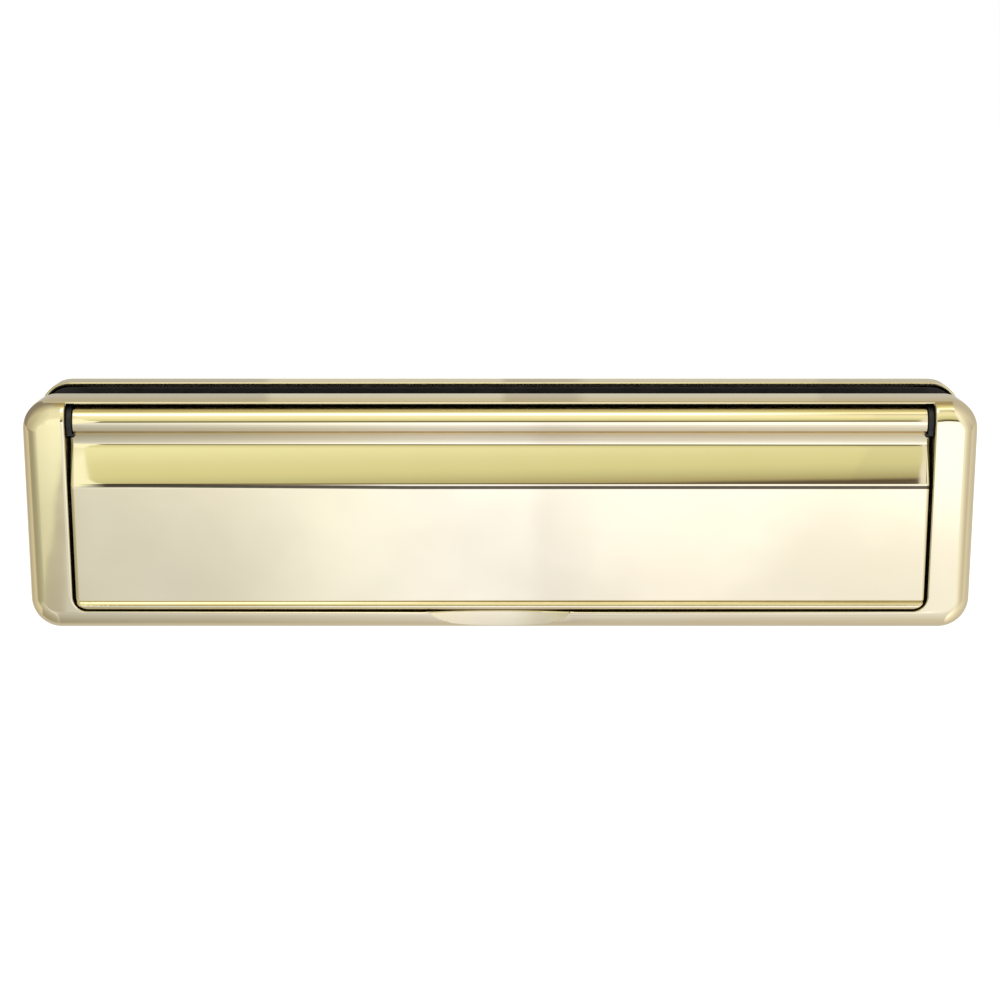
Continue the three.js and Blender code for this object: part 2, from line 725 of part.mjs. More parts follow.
// One half of the fitting, in the plate's own depths.
function half(prefix) {
  const group = new THREE.Group();
  const outer = prefix === "outer";
  const width = outer ? outerSleeveWidth : apertureWidth;
  const height = outer ? outerSleeveHeight : apertureHeight;
  const reach = outer ? sleeveEnd : totalDepth - flangeFront;
  const hole = (outer ? postRadius : boltRadius) + fit;
  addTo(group, `${prefix}_plate`, plate(), gold);
  addTo(group, `${prefix}_flap`, flap(), gold);
  addTo(group, `${prefix}_hinge_rod`, hingeRod(), steel);
  addTo(group, `${prefix}_chassis`, chassis(width, height, reach, hole), blackPlastic);
  addTo(group, `${prefix}_flap_seal`, flapSeal(width, height), rubber);
  addTo(group, `${prefix}_gasket`, gasket(), foam);
  for (const [name, side] of sides) {
    addTo(group, `${prefix}_hinge_cap_${name}`, hingeCap(side), blackNylon);
    addTo(group, `${prefix}_spring_${name}`, spring(side), springSteel);
    if (outer) addTo(group, `fixing_post_${name}`, post(side), steel);
    else addTo(group, `fixing_bolt_${name}`, bolt(side), steel);
  }
  screwPlaces().forEach((place, i) => {
    addTo(group, `${prefix}_chassis_screw_${i + 1}`, chassisScrew(place), steel);
  });
  return group;
}

const letterplate = new THREE.Group();
const outerHalf = half("outer");
outerHalf.position.y = -totalDepth / 2;
const innerHalf = half("inner");
innerHalf.rotation.z = Math.PI;
innerHalf.position.y = totalDepth / 2;
letterplate.add(outerHalf, innerHalf);

export default letterplate;
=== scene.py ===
"""Looks of a sleeved door letterplate: polished pale gold plates and flaps on black sleeves."""

import math

import bmesh
import bpy
from mathutils import Matrix, Vector


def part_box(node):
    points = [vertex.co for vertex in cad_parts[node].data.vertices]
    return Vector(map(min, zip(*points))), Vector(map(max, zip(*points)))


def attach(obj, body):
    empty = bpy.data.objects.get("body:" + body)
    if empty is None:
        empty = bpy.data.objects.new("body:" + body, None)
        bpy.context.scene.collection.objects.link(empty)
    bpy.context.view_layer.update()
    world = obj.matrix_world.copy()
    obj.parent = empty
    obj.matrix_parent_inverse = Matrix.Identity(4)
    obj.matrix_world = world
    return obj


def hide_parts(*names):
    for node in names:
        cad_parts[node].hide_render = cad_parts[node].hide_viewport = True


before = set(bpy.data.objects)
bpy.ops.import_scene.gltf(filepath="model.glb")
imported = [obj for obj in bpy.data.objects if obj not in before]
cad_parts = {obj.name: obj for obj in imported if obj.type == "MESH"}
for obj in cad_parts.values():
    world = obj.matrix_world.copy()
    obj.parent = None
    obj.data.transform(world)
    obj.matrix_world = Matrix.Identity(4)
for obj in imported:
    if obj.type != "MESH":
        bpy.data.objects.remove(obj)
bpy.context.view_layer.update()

MM = 0.001

# ---- Sizes, in millimetres. Depths are measured from the front of a plate towards the door. ----

plate_low, plate_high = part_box("outer_plate")
HALF_WIDTH = plate_high.x / MM
HALF_HEIGHT = plate_high.z / MM
PLATE_FRONT = plate_low.y / MM
PLATE_DEPTH = (plate_high.y - plate_low.y) / MM
PLATE_WALL = 1.2
CORNER_RADIUS = 10.0
TOP_ROLL = 7.7
SIDE_ROLL = 5.5
BOTTOM_ROLL = 4.7
BOTTOM_ROLL_REACH = 6.2

OPENING_HALF_WIDTH = HALF_WIDTH - 14.45
OPENING_TOP = HALF_HEIGHT - 1.6
OPENING_LIP = 0.32
OPENING_BOTTOM = 6.2 - HALF_HEIGHT
OPENING_CORNER = 5.0
RETURN_WALL = 1.3
RETURN_DEPTH = 10.4
SCALLOP_HALF_WIDTH = 23.0
SCALLOP_DEPTH = 2.0
SCALLOP_FALL = 0.008
SCALLOP_PAD = 3.6
EDGE_ROUNDING = 0.5

flap_low, flap_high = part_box("outer_flap")
FLAP_HALF_WIDTH = flap_high.x / MM
FLAP_BOTTOM = flap_low.z / MM
FLAP_CORNER = 4.0
FLAP_END_REACH = 1.15
FLAP_END_DROP = 0.45
FLAP_BACK_ROUNDING = 0.3
BARREL_END_ROUNDING = 0.3
BARREL_SHOULDER = 2.4
FLAP_WALL = 1.8
FACE_DEPTH = 0.5
BARREL_RADIUS = 5.3
BARREL_HALF_WIDTH = FLAP_HALF_WIDTH - 1.2
PIVOT_DEPTH = 6.8
PIVOT_HEIGHT = flap_high.z / MM - BARREL_RADIUS
GROOVE_RADIUS = 5.7
GROOVE_FOOT_TILT = 8.0
GROOVE_TOP_TILT = -39.0
SLOPE_TOP_DEPTH = PIVOT_DEPTH - 2.66
SLOPE_TOP_HEIGHT = PIVOT_HEIGHT - 7.63
SLOPE_TOP_TILT = 20.5
SLOPE_BEND_HEIGHT = 10.95
SLOPE_BEND_TILT = 12.3
SLOPE_FOOT_HEIGHT = 10.2
SLOPE_FOOT_TILT = 6.5
STEP_HEIGHT = 0.85
SLOPE_TOP_FILLET = 0.6
NOSE_RADIUS = 0.8
NOSE_TILT = -27.0
LIP_FRONT = FACE_DEPTH - 0.9
LIP_ROLL = 2.0
LIP_UNDER_ROLL = 1.15
LIP_TURN = math.acos(1 - (FACE_DEPTH - LIP_FRONT) / LIP_ROLL)

ROD_RADIUS = 1.6
ROD_HOLE = 1.9
ROD_HOLE_END = HALF_WIDTH - 7.2
PIVOT_BOSS_WALL = 1.5
PIVOT_BOSS_END = OPENING_HALF_WIDTH + RETURN_WALL + 3.0
SPRING_FROM_CENTRE = 84.0
SPRING_POCKET_HALF = 8.0
SPRING_POCKET_RADIUS = 3.7
SPRING_WIRE = 0.8
SPRING_COIL_RADIUS = 3.0
SPRING_TURNS = 5
SPRING_PITCH = 1.1
SPRING_POCKET_DEPTH = 12.0
SPRING_FLAP_LEG = 10.6
SPRING_FLAP_LEG_BEND = 7.0
SPRING_FLAP_LEG_LEAN = 0.35
SPRING_CHASSIS_LEG = 8.0
CAP_GAP = 0.3
CAP_FOOT_TOP = 3.95
CAP_FOOT_LIFT = 0.55

BOLT_HEAD_HEIGHT = 2.8
BOLT_RADIUS = 2.5
BOLT_PITCH = 0.8
BOLT_THREAD_LENGTH = 15.0
POST_HEAD_HEIGHT = 1.9
POST_RADIUS = 3.7
POST_BORE = 2.8
SCREW_HEAD_HEIGHT = 1.4
SCREW_RADIUS = 1.4
SCREW_PITCH = 1.0
SCREW_TIP = 0.25
THREAD_SHARE = 0.16
TURNED_CHAMFER = 0.25

HALVES = {"outer": ("street_half", "street_flap"), "inner": ("house_half", "house_flap")}


# ---- Mesh helpers ----

BAR_SIDES = 32
FILLET_STEPS = 8
CORNER_STEPS = 24
ROLL_STEPS = 24
OPENING_STEPS = 16
SCALLOP_STEPS = 64
SCALLOP_LEVELS = 13
SCALLOP_LEVEL_STEP = 0.55
SCALLOP_CURVE = 2.2
SLOPE_STEPS = 40
LEDGE_STEPS = 4
FLAP_END_STEPS = 10
COIL_STEPS = 24


def placed(half, x, depth, height):
    """A point of one half of the fitting, in metres in the frame.

    The inner half is the outer one turned round.
    """
    y = PLATE_FRONT + depth
    sign = 1 if half == "outer" else -1
    return Vector((sign * x * MM, sign * y * MM, height * MM))


def depth_in(half, point):
    """The depth of a point of the frame, in one half of the fitting."""
    return (point.y if half == "outer" else -point.y) / MM - PLATE_FRONT


def new_object(name, data):
    made = bpy.data.objects.new(name, data)
    bpy.context.scene.collection.objects.link(made)
    return made


def mesh_object(name, bm):
    bmesh.ops.recalc_face_normals(bm, faces=bm.faces)
    mesh = bpy.data.meshes.new(name)
    bm.to_mesh(mesh)
    bm.free()
    return new_object(name, mesh)


def skin(name, rings):
    """A body made of rings that have the same number of points, capped at both ends."""
    bm = bmesh.new()
    rows = [[bm.verts.new(point) for point in ring] for ring in rings]
    count = len(rings[0])
    for first, second in zip(rows, rows[1:]):
        for i in range(count):
            j = (i + 1) % count
            bm.faces.new((first[i], first[j], second[j], second[i]))
    bm.faces.new(rows[0])
    bm.faces.new(reversed(rows[-1]))
    return mesh_object(name, bm)


def apply_modifiers(piece):
    graph = bpy.context.evaluated_depsgraph_get()
    result = bpy.data.meshes.new_from_object(piece.evaluated_get(graph))
    piece.modifiers.clear()
    piece.data = result
    return piece


def boolean(piece, other, operation):
    step = piece.modifiers.new(operation, "BOOLEAN")
    step.operation = operation
    step.solver = "EXACT"
    step.object = other
    apply_modifiers(piece)
    bpy.data.objects.remove(other)


def smooth(piece, angle=30.0):
    """Smooth shading that keeps flat faces flat and creases sharper than the angle."""
    piece.data.shade_smooth()
    piece.data.set_sharp_from_angle(angle=math.radians(angle))
    weighted = piece.modifiers.new("flat faces", "WEIGHTED_NORMAL")
    weighted.keep_sharp = True
    weighted.weight = 100


def arc(centre_depth, centre_height, radius, start, end, steps):
    """Points (depth, height) on a circle, from one angle to another, in degrees."""
    angles = [math.radians(start + (end - start) * i / steps) for i in range(steps + 1)]
    return [
        (centre_depth + radius * math.cos(a), centre_height + radius * math.sin(a)) for a in angles
    ]


def lathe(name, half, x, height, profile, pitch=0.0, sides=48):
    """A round body along the depth axis, of (radius, depth, thread) from one end to the other.

    The thread is how deep a screw's groove is cut at that depth, and the pitch is its rise in a turn.
    """
    rings = []
    for radius, depth, thread in profile:
        ring = []
        for side in range(sides):
            turn = side / sides
            groove = thread * abs(2 * ((depth / pitch + turn) % 1) - 1) if thread else 0.0
            angle = 2 * math.pi * turn
            reach = radius - groove
            ring.append(placed(half, x + reach * math.cos(angle), depth, height + reach * math.sin(angle)))
        rings.append(ring)
    return skin(name, rings)


def extruded(name, half, outline, low, high, axis):
    """A closed outline pulled along x (points are depth, height) or along depth (points are x, height)."""

    def at(u, v, w):
        return placed(half, w, u, v) if axis == "x" else placed(half, u, w, v)

    return skin(name, [[at(u, v, w) for u, v in outline] for w in (low, high)])


def rod(name, half, radius, low, high):
    """A round bar along the flap's hinge line."""
    circle = arc(PIVOT_DEPTH, PIVOT_HEIGHT, radius, 0, 360, BAR_SIDES)[:-1]
    return extruded(name, half, circle, low, high, "x")


# ---- Plate ----


def roll_size(normal, inset):
    """How far the roll runs back, and how far it reaches in from the plate's edge."""
    sideways = SIDE_ROLL * normal.x**2
    back = sideways + (TOP_ROLL if normal.y > 0 else BOTTOM_ROLL) * normal.y**2
    reach = sideways + (TOP_ROLL if normal.y > 0 else BOTTOM_ROLL_REACH) * normal.y**2
    return max(back - inset, 0.2), max(reach - inset, 0.2)


def plate_outline():
    """Points round the plate, each with its outward direction."""
    points = []
    for quarter, (side_x, side_z) in enumerate([(1, 1), (-1, 1), (-1, -1), (1, -1)]):
        centre = Vector((side_x * (HALF_WIDTH - CORNER_RADIUS), side_z * (HALF_HEIGHT - CORNER_RADIUS)))
        for step in range(CORNER_STEPS + 1):
            angle = (quarter + step / CORNER_STEPS) * math.pi / 2
            points.append((centre, Vector((math.cos(angle), math.sin(angle)))))
    return points


def plate_body(name, half, inset, back):
    outline = plate_outline()
    rings = []
    for step in range(ROLL_STEPS + 1):
        angle = (1 - step / ROLL_STEPS) * math.pi / 2
        ring = []
        for centre, normal in outline:
            roll, reach = roll_size(normal, inset)
            at = centre + normal * (CORNER_RADIUS - inset - reach * (1 - math.cos(angle)))
            ring.append(placed(half, at.x, inset + roll * (1 - math.sin(angle)), at.y))
        rings.append(ring)
    edge = [centre + normal * (CORNER_RADIUS - inset) for centre, normal in outline]
    rings.append([placed(half, at.x, back, at.y) for at in edge])
    return skin(name, rings)


def opening_outline(grow):
    """The flap opening, grown all round: square at the top and rounded at the bottom."""
    side = OPENING_HALF_WIDTH + grow
    radius = OPENING_CORNER + grow
    bottom = OPENING_BOTTOM - grow
    left = arc(radius - side, bottom + radius, radius, 180, 270, OPENING_STEPS)
    right = arc(side - radius, bottom + radius, radius, 270, 360, OPENING_STEPS)
    return [(side, OPENING_TOP), (-side, OPENING_TOP)] + left + right


def scallop_cutter(half):
    """The shallow hollow in the bottom border. Its floor falls back faster towards the foot."""
    rings = []
    for level in range(SCALLOP_LEVELS):
        drop = level * SCALLOP_LEVEL_STEP
        height = OPENING_BOTTOM - drop if level else OPENING_BOTTOM + 1.0
        ring = []
        for step in range(SCALLOP_STEPS + 1):
            across = 2 * step / SCALLOP_STEPS - 1
            depth = SCALLOP_DEPTH * (1 - abs(across) ** SCALLOP_CURVE) + SCALLOP_FALL * drop**2
            ring.append(placed(half, across * SCALLOP_HALF_WIDTH, depth, height))
        ring.append(placed(half, SCALLOP_HALF_WIDTH, -5.0, height))
        ring.append(placed(half, -SCALLOP_HALF_WIDTH, -5.0, height))
        rings.append(ring)
    return skin("scallop", rings)


def scallop_pad(half):
    """Backs the hollow, so that its floor doesn't break through the wall."""
    reach = SCALLOP_HALF_WIDTH + 2.0
    low, high = -HALF_HEIGHT, OPENING_BOTTOM
    outline = [(-reach, low), (reach, low), (reach, high), (-reach, high)]
    return extruded("pad", half, outline, 0.0, SCALLOP_PAD, "depth")


def lip_cutter(half):
    """Rounds the sharp lip that the opening leaves along the foot of the top roll."""
    roll_height = HALF_HEIGHT - TOP_ROLL
    height = OPENING_TOP + OPENING_LIP
    rise = height - roll_height
    depth = TOP_ROLL - math.sqrt((TOP_ROLL - OPENING_LIP) ** 2 - rise**2)
    start = math.degrees(math.atan2(rise, depth - TOP_ROLL))
    outline = arc(depth, height, OPENING_LIP, start, 270, 16)
    outline += [(depth, OPENING_TOP - 0.5), (-1.0, OPENING_TOP - 0.5), (-1.0, outline[0][1] + 1.0)]
    reach = OPENING_HALF_WIDTH + 0.05
    return extruded("lip", half, outline, -reach, reach, "x")


def mark_visible_edges(piece, half):
    """Gives a bevel weight to the crisp edges at the front of the opening and at the rim's end."""
    bm = bmesh.new()
    bm.from_mesh(piece.data)
    weight = bm.edges.layers.float.new("bevel_weight_edge")
    for edge in bm.edges:
        if len(edge.link_faces) != 2 or edge.calc_face_angle() < math.radians(35):
            continue
        middle = (edge.verts[0].co + edge.verts[1].co) / 2
        depth = depth_in(half, middle)
        middle /= MM
        at_opening = abs(middle.x) < OPENING_HALF_WIDTH + 0.01 and OPENING_BOTTOM - 0.01 < middle.z
        at_rim = depth > PLATE_DEPTH - 0.01
        if at_rim or (at_opening and depth < 4.0):
            edge[weight] = 1.0
    bm.to_mesh(piece.data)
    bm.free()


# The order of the plate's finishes.
POLISHED, LINISHED, UNPOLISHED, SOFT = 0, 1, 2, 3


def plate(half, finishes):
    """The plate's shell: polished, soft in the scallop, linished at the rim's end, as cast inside."""

    def body(piece, finish):
        for material in finishes:
            piece.data.materials.append(material)
        for face in piece.data.polygons:
            face.material_index = finish
        return piece

    piece = body(plate_body(f"{half}_plate_shell", half, 0.0, PLATE_DEPTH), POLISHED)
    hollow = plate_body("hollow", half, PLATE_WALL, PLATE_DEPTH + 1.0)
    boolean(piece, body(hollow, UNPOLISHED), "DIFFERENCE")
    returns = extruded("returns", half, opening_outline(RETURN_WALL), 0.0, RETURN_DEPTH, "depth")
    body(returns, UNPOLISHED)
    boolean(returns, body(scallop_pad(half), UNPOLISHED), "UNION")
    boolean(returns, body(plate_body("outside", half, 0.0, PLATE_DEPTH), POLISHED), "INTERSECT")
    boolean(piece, returns, "UNION")
    for side in (-1, 1):
        inner = OPENING_HALF_WIDTH + RETURN_WALL / 2
        boss = rod("boss", half, ROD_HOLE + PIVOT_BOSS_WALL, side * inner, side * PIVOT_BOSS_END)
        boolean(piece, body(boss, UNPOLISHED), "UNION")
    opening = extruded("opening", half, opening_outline(0.0), -1.0, PLATE_DEPTH + 1.0, "depth")
    boolean(piece, body(opening, UNPOLISHED), "DIFFERENCE")
    boolean(piece, body(lip_cutter(half), POLISHED), "DIFFERENCE")
    hole = rod("rod hole", half, ROD_HOLE, -ROD_HOLE_END, ROD_HOLE_END)
    boolean(piece, body(hole, UNPOLISHED), "DIFFERENCE")
    boolean(piece, body(scallop_cutter(half), SOFT), "DIFFERENCE")
    mark_visible_edges(piece, half)
    bevel = piece.modifiers.new("edges", "BEVEL")
    bevel.limit_method = "WEIGHT"
    bevel.width = EDGE_ROUNDING * MM
    bevel.segments = 4
    bevel.use_clamp_overlap = False
    bevel.material = POLISHED
    apply_modifiers(piece)
    for face in piece.data.polygons:
        if depth_in(half, face.center) > PLATE_DEPTH - 0.02:
            face.material_index = LINISHED
    smooth(piece)
    return piece


# ---- Flap ----


def flap_front():
    """The front of the flap's section, (depth, height), from the lip's foot to the barrel's top."""
    lip_height = FLAP_BOTTOM + LIP_UNDER_ROLL
    lip_turn = math.degrees(LIP_TURN)
    points = arc(LIP_FRONT + LIP_UNDER_ROLL, lip_height, LIP_UNDER_ROLL, 270, 180, 8)
    points += arc(LIP_FRONT + LIP_ROLL, lip_height, LIP_ROLL, 180, 180 - lip_turn, 10)[1:]
    corner_top = FLAP_BOTTOM + FLAP_CORNER
    lip_top = points[-1][1]
    points += [(FACE_DEPTH, lip_top + (corner_top - lip_top) * i / 4) for i in range(1, 5)]
    points.append((FACE_DEPTH, SLOPE_FOOT_HEIGHT - STEP_HEIGHT - 0.3))
    slope = slope_points()
    groove = Vector((SLOPE_TOP_DEPTH, SLOPE_TOP_HEIGHT)) - GROOVE_RADIUS * Vector(
        (math.cos(math.radians(GROOVE_FOOT_TILT)), -math.sin(math.radians(GROOVE_FOOT_TILT)))
    )
    rise = math.degrees(SLOPE_TOP_FILLET / GROOVE_RADIUS)
    hollow = arc(groove.x, groove.y, GROOVE_RADIUS, rise - GROOVE_FOOT_TILT, -GROOVE_TOP_TILT, 16)
    below = [p for p in slope if p[1] < SLOPE_TOP_HEIGHT - SLOPE_TOP_FILLET]
    points += below + fillet(below[-1], slope[-1], hollow[0]) + hollow
    points += nose_points(Vector(points[-1]))
    return points


def fillet(start, corner, end):
    """Points on a soft turn from start to end, rounding off the corner between them."""
    points = []
    for step in range(1, FILLET_STEPS):
        t = step / FILLET_STEPS
        mix = [(1 - t) ** 2 * a + 2 * t * (1 - t) * b + t * t * c for a, b, c in zip(start, corner, end)]
        points.append(tuple(mix))
    return points


def slope_points():
    """From the flat face over its small step and up the bowed slope to the groove's edge."""
    slope = (SLOPE_TOP_HEIGHT, SLOPE_BEND_HEIGHT, SLOPE_TOP_TILT, SLOPE_BEND_TILT, SLOPE_STEPS)
    ledge = (SLOPE_BEND_HEIGHT, SLOPE_FOOT_HEIGHT, SLOPE_FOOT_TILT, SLOPE_FOOT_TILT, LEDGE_STEPS)
    points = [(SLOPE_TOP_DEPTH, SLOPE_TOP_HEIGHT)]
    for high, low, tilt_high, tilt_low, steps in (slope, ledge):
        for step in range(steps):
            share = (step + 0.5) / steps
            tilt = tilt_high + (tilt_low - tilt_high) * share
            rise = (high - low) / steps
            depth, height = points[-1]
            points.append((depth - rise * math.tan(math.radians(tilt)), height - rise))
    foot = points[-1]
    step_points = []
    for i in range(7):
        share = i / 6
        ease = share * share * (3 - 2 * share)
        depth = FACE_DEPTH + (foot[0] - FACE_DEPTH) * ease
        step_points.append((depth, foot[1] - STEP_HEIGHT * (1 - share)))
    return step_points[:-1] + points[::-1]


def nose_points(groove_top):
    """The barrel's rounded lower edge and its front, up to its top."""
    tilt = math.radians(NOSE_TILT)
    pivot = Vector((PIVOT_DEPTH, PIVOT_HEIGHT))
    centre = pivot + (BARREL_RADIUS - NOSE_RADIUS) * Vector((-math.cos(tilt), math.sin(tilt)))
    apart = groove_top - centre
    toward = math.degrees(math.atan2(apart.y, apart.x)) % 360
    touch = toward - math.degrees(math.acos(min(NOSE_RADIUS / apart.length, 1)))
    points = arc(centre.x, centre.y, NOSE_RADIUS, touch, 180 - NOSE_TILT, 8)
    return points + arc(pivot.x, pivot.y, BARREL_RADIUS, 180 - NOSE_TILT, 90, 30)[1:]


def flap_back(front):
    """The point behind each point of the front, at the same height."""
    groove_back = GROOVE_RADIUS + FLAP_WALL
    groove_depth = SLOPE_TOP_DEPTH - GROOVE_RADIUS * math.cos(math.radians(GROOVE_FOOT_TILT))
    groove_height = SLOPE_TOP_HEIGHT + GROOVE_RADIUS * math.sin(math.radians(GROOVE_FOOT_TILT))
    points = []
    for depth, height in front:
        behind = FACE_DEPTH + FLAP_WALL
        if height > SLOPE_FOOT_HEIGHT:
            behind = max(behind, depth + FLAP_WALL)
        if height > SLOPE_TOP_HEIGHT:
            behind = groove_depth + math.sqrt(max(groove_back**2 - (height - groove_height) ** 2, 0))
        rise = abs(height - PIVOT_HEIGHT)
        if rise < BARREL_RADIUS:
            behind = max(behind, PIVOT_DEPTH + math.sqrt(BARREL_RADIUS**2 - rise**2))
        if height > PIVOT_HEIGHT:
            behind = PIVOT_DEPTH + math.sqrt(max(BARREL_RADIUS**2 - rise**2, 0))
        points.append((behind, height))
    return points


def end_of_flap(height, shoulder):
    """How far the flap reaches from its middle at a height: shorter at the barrel, rounded at the foot."""
    if height > shoulder:
        return BARREL_HALF_WIDTH
    short = max(FLAP_CORNER - (height - FLAP_BOTTOM), 0)
    return FLAP_HALF_WIDTH - FLAP_CORNER + math.sqrt(max(FLAP_CORNER**2 - short**2, 0))


def outward_directions(points):
    """Direction square to a run of points, facing the left of its travel."""
    directions = []
    for i in range(len(points)):
        before = Vector(points[max(i - 1, 0)])
        after = Vector(points[min(i + 1, len(points) - 1)])
        along = (after - before).normalized()
        directions.append(Vector((-along.y, along.x)))
    return directions


# The order of the flap's finishes, after the polished one. CREASE holds a painted shade line and a painted
# amber reflection, BEAD a painted amber reflection, and SHADE painted shade under the barrel.
SATIN, CREASE, BEAD, SHADE = 1, 2, 3, 4


def flap(half, finishes):
    """The flap's extruded section with softly rounded ends, and a finish for each part of it."""
    front = flap_front()
    lip_top = FLAP_BOTTOM + LIP_UNDER_ROLL + LIP_ROLL * math.sin(LIP_TURN)
    shoulder = min(p[1] for p in front if p[1] > SLOPE_TOP_HEIGHT + BARREL_SHOULDER)
    back = flap_back(front)
    normals = outward_directions(front)
    angles = [math.radians(90 * i / FLAP_END_STEPS) for i in range(FLAP_END_STEPS + 1)]
    groove_height = SLOPE_TOP_HEIGHT + GROOVE_RADIUS * math.sin(math.radians(GROOVE_FOOT_TILT))
    shade_low = groove_height - GROOVE_RADIUS * math.sin(math.radians(GROOVE_TOP_TILT))
    shade_high = PIVOT_HEIGHT + BARREL_RADIUS * math.sin(math.radians(NOSE_TILT))
    columns = [(side, a) for side in (-1, 1) for a in (reversed(angles) if side < 0 else angles)]
    rings = []
    for side, angle in columns:
        short = 1 - math.sin(angle)
        drop = 1 - math.cos(angle)
        ring = []
        for (depth, height), normal in zip(front, normals):
            end = end_of_flap(height, shoulder)
            reach, inward = BARREL_END_ROUNDING, BARREL_END_ROUNDING
            if height < shoulder:
                reach, inward = FLAP_END_REACH, FLAP_END_DROP
            x = side * (end - reach * short)
            back_by = normal.x * inward * drop
            down_by = normal.y * inward * drop
            ring.append(placed(half, x, depth - back_by, height - down_by))
        for depth, height in reversed(back[:-1]):
            end = end_of_flap(height, shoulder)
            x = side * (end - FLAP_BACK_ROUNDING * short)
            ring.append(placed(half, x, depth - FLAP_BACK_ROUNDING * drop, height))
        rings.append(ring)
    piece = skin(f"{half}_flap_section", rings)
    for material in finishes:
        piece.data.materials.append(material)
    for side in (-1, 1):
        boolean(piece, pocket_cutter(half, side), "DIFFERENCE")
    for face in piece.data.polygons:
        height = face.center.z / MM
        facing = -face.normal.y if half == "outer" else face.normal.y
        if facing < -0.3:
            face.material_index = SATIN
        elif depth_in(half, face.center) < FACE_DEPTH + 1.2 and facing > 0:
            if SLOPE_FOOT_HEIGHT - STEP_HEIGHT - 0.2 < height < SLOPE_BEND_HEIGHT:
                face.material_index = CREASE
            if height < lip_top + 0.4:
                face.material_index = BEAD
        if shade_low < height < shade_high and depth_in(half, face.center) < SLOPE_TOP_DEPTH:
            face.material_index = SHADE
    smooth(piece)
    return piece


def pocket_cutter(half, side):
    """The space that the spring and the rod take up in the back of the barrel."""
    clear = SPRING_POCKET_RADIUS
    low = PIVOT_HEIGHT - BARREL_RADIUS - CAP_GAP
    high = PIVOT_HEIGHT + clear + CAP_GAP
    outline = arc(PIVOT_DEPTH, PIVOT_HEIGHT, clear, 90, 270, 24)
    outline += [(PIVOT_DEPTH + SPRING_WIRE, PIVOT_HEIGHT - clear), (PIVOT_DEPTH + SPRING_WIRE, low)]
    rear = PIVOT_DEPTH + SPRING_POCKET_DEPTH
    outline += [(rear, low), (rear, high), (PIVOT_DEPTH + SPRING_WIRE, high)]
    outline.append((PIVOT_DEPTH + SPRING_WIRE, PIVOT_HEIGHT + clear))
    middle = side * SPRING_FROM_CENTRE
    ends = (middle - SPRING_POCKET_HALF, middle + SPRING_POCKET_HALF)
    return extruded("pocket", half, outline, *ends, "x")


# ---- Everything else ----


def refined(node, width=0.25, adjust=None):
    """The CAD piece with its edges softly rounded."""
    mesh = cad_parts[node].data.copy()
    piece = new_object(f"{node}_moulding", mesh)
    mesh.materials.clear()
    if adjust:
        adjust(mesh)
    bm = bmesh.new()
    bm.from_mesh(mesh)
    bmesh.ops.remove_doubles(bm, verts=bm.verts, dist=1e-6)
    bmesh.ops.dissolve_limit(bm, angle_limit=math.radians(1), verts=bm.verts, edges=bm.edges)
    bm.to_mesh(mesh)
    bm.free()
    bevel = piece.modifiers.new("edges", "BEVEL")
    bevel.limit_method = "ANGLE"
    bevel.angle_limit = math.radians(40)
    bevel.width = width * MM
    bevel.segments = 2
    apply_modifiers(piece)
    smooth(piece, 35.0)
    return piece


def lift_foot(mesh):
    """Draws the foot of a hinge cap up into the groove's top."""
    for vertex in mesh.vertices:
        if vertex.co.z < (PIVOT_HEIGHT - CAP_FOOT_TOP) * MM:
            vertex.co.z += CAP_FOOT_LIFT * MM


def spring(half, side):
    """Torsion spring: a leg down the back of the flap, the coil round the rod, a leg down the chassis."""
    start = SPRING_FROM_CENTRE - SPRING_TURNS * SPRING_PITCH / 2
    rear = PIVOT_DEPTH + SPRING_COIL_RADIUS
    tip = rear - SPRING_FLAP_LEG_LEAN * 3.5
    points = [(start, tip, PIVOT_HEIGHT - SPRING_FLAP_LEG)]
    points.append((start, rear, PIVOT_HEIGHT - SPRING_FLAP_LEG_BEND))
    steps = COIL_STEPS * SPRING_TURNS
    for step in range(steps + 1):
        turn = 2 * math.pi * SPRING_TURNS * step / steps
        x = start + SPRING_TURNS * SPRING_PITCH * step / steps
        depth = PIVOT_DEPTH + SPRING_COIL_RADIUS * math.cos(turn)
        points.append((x, depth, PIVOT_HEIGHT + SPRING_COIL_RADIUS * math.sin(turn)))
    end = start + SPRING_TURNS * SPRING_PITCH
    points.append((end, rear + 0.1, PIVOT_HEIGHT - SPRING_CHASSIS_LEG))
    curve = bpy.data.curves.new("wire", "CURVE")
    curve.dimensions = "3D"
    curve.bevel_depth = SPRING_WIRE / 2 * MM
    curve.bevel_resolution = 4
    curve.use_fill_caps = True
    line = curve.splines.new("POLY")
    line.points.add(len(points) - 1)
    for point, (x, depth, height) in zip(line.points, points):
        point.co = (*placed(half, side * x, depth, height), 1.0)
    wire = new_object("wire", curve)
    graph = bpy.context.evaluated_depsgraph_get()
    mesh = bpy.data.meshes.new_from_object(wire.evaluated_get(graph))
    bpy.data.objects.remove(wire)
    piece = new_object(f"{half}_spring_wire_{'left' if side < 0 else 'right'}", mesh)
    mesh.shade_smooth()
    return piece


# ---- Fasteners ----


def turned_seat(node, half):
    """Where a turned CAD piece sits in its half: its axis, its widest radius, and its two ends in depth."""
    low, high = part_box(node)
    middle = (low + high) / 2 / MM
    ends = sorted((depth_in(half, low), depth_in(half, high)))
    return (middle.x if half == "outer" else -middle.x), middle.z, (high.x - low.x) / 2 / MM, *ends


def threaded(radius, start, end, pitch, taper=0.0):
    """The profile of a threaded shank whose groove fades in and out over one turn."""
    steps = round((end - start) / pitch * 8)
    profile = []
    for step in range(steps + 1):
        depth = start + (end - start) * step / steps
        fade = min((depth - start) / pitch, (end - depth) / pitch, 1.0)
        size = radius - taper * max(1 - (depth - start) / (3 * pitch), 0.0)
        profile.append((size, depth, THREAD_SHARE * size * fade))
    return profile


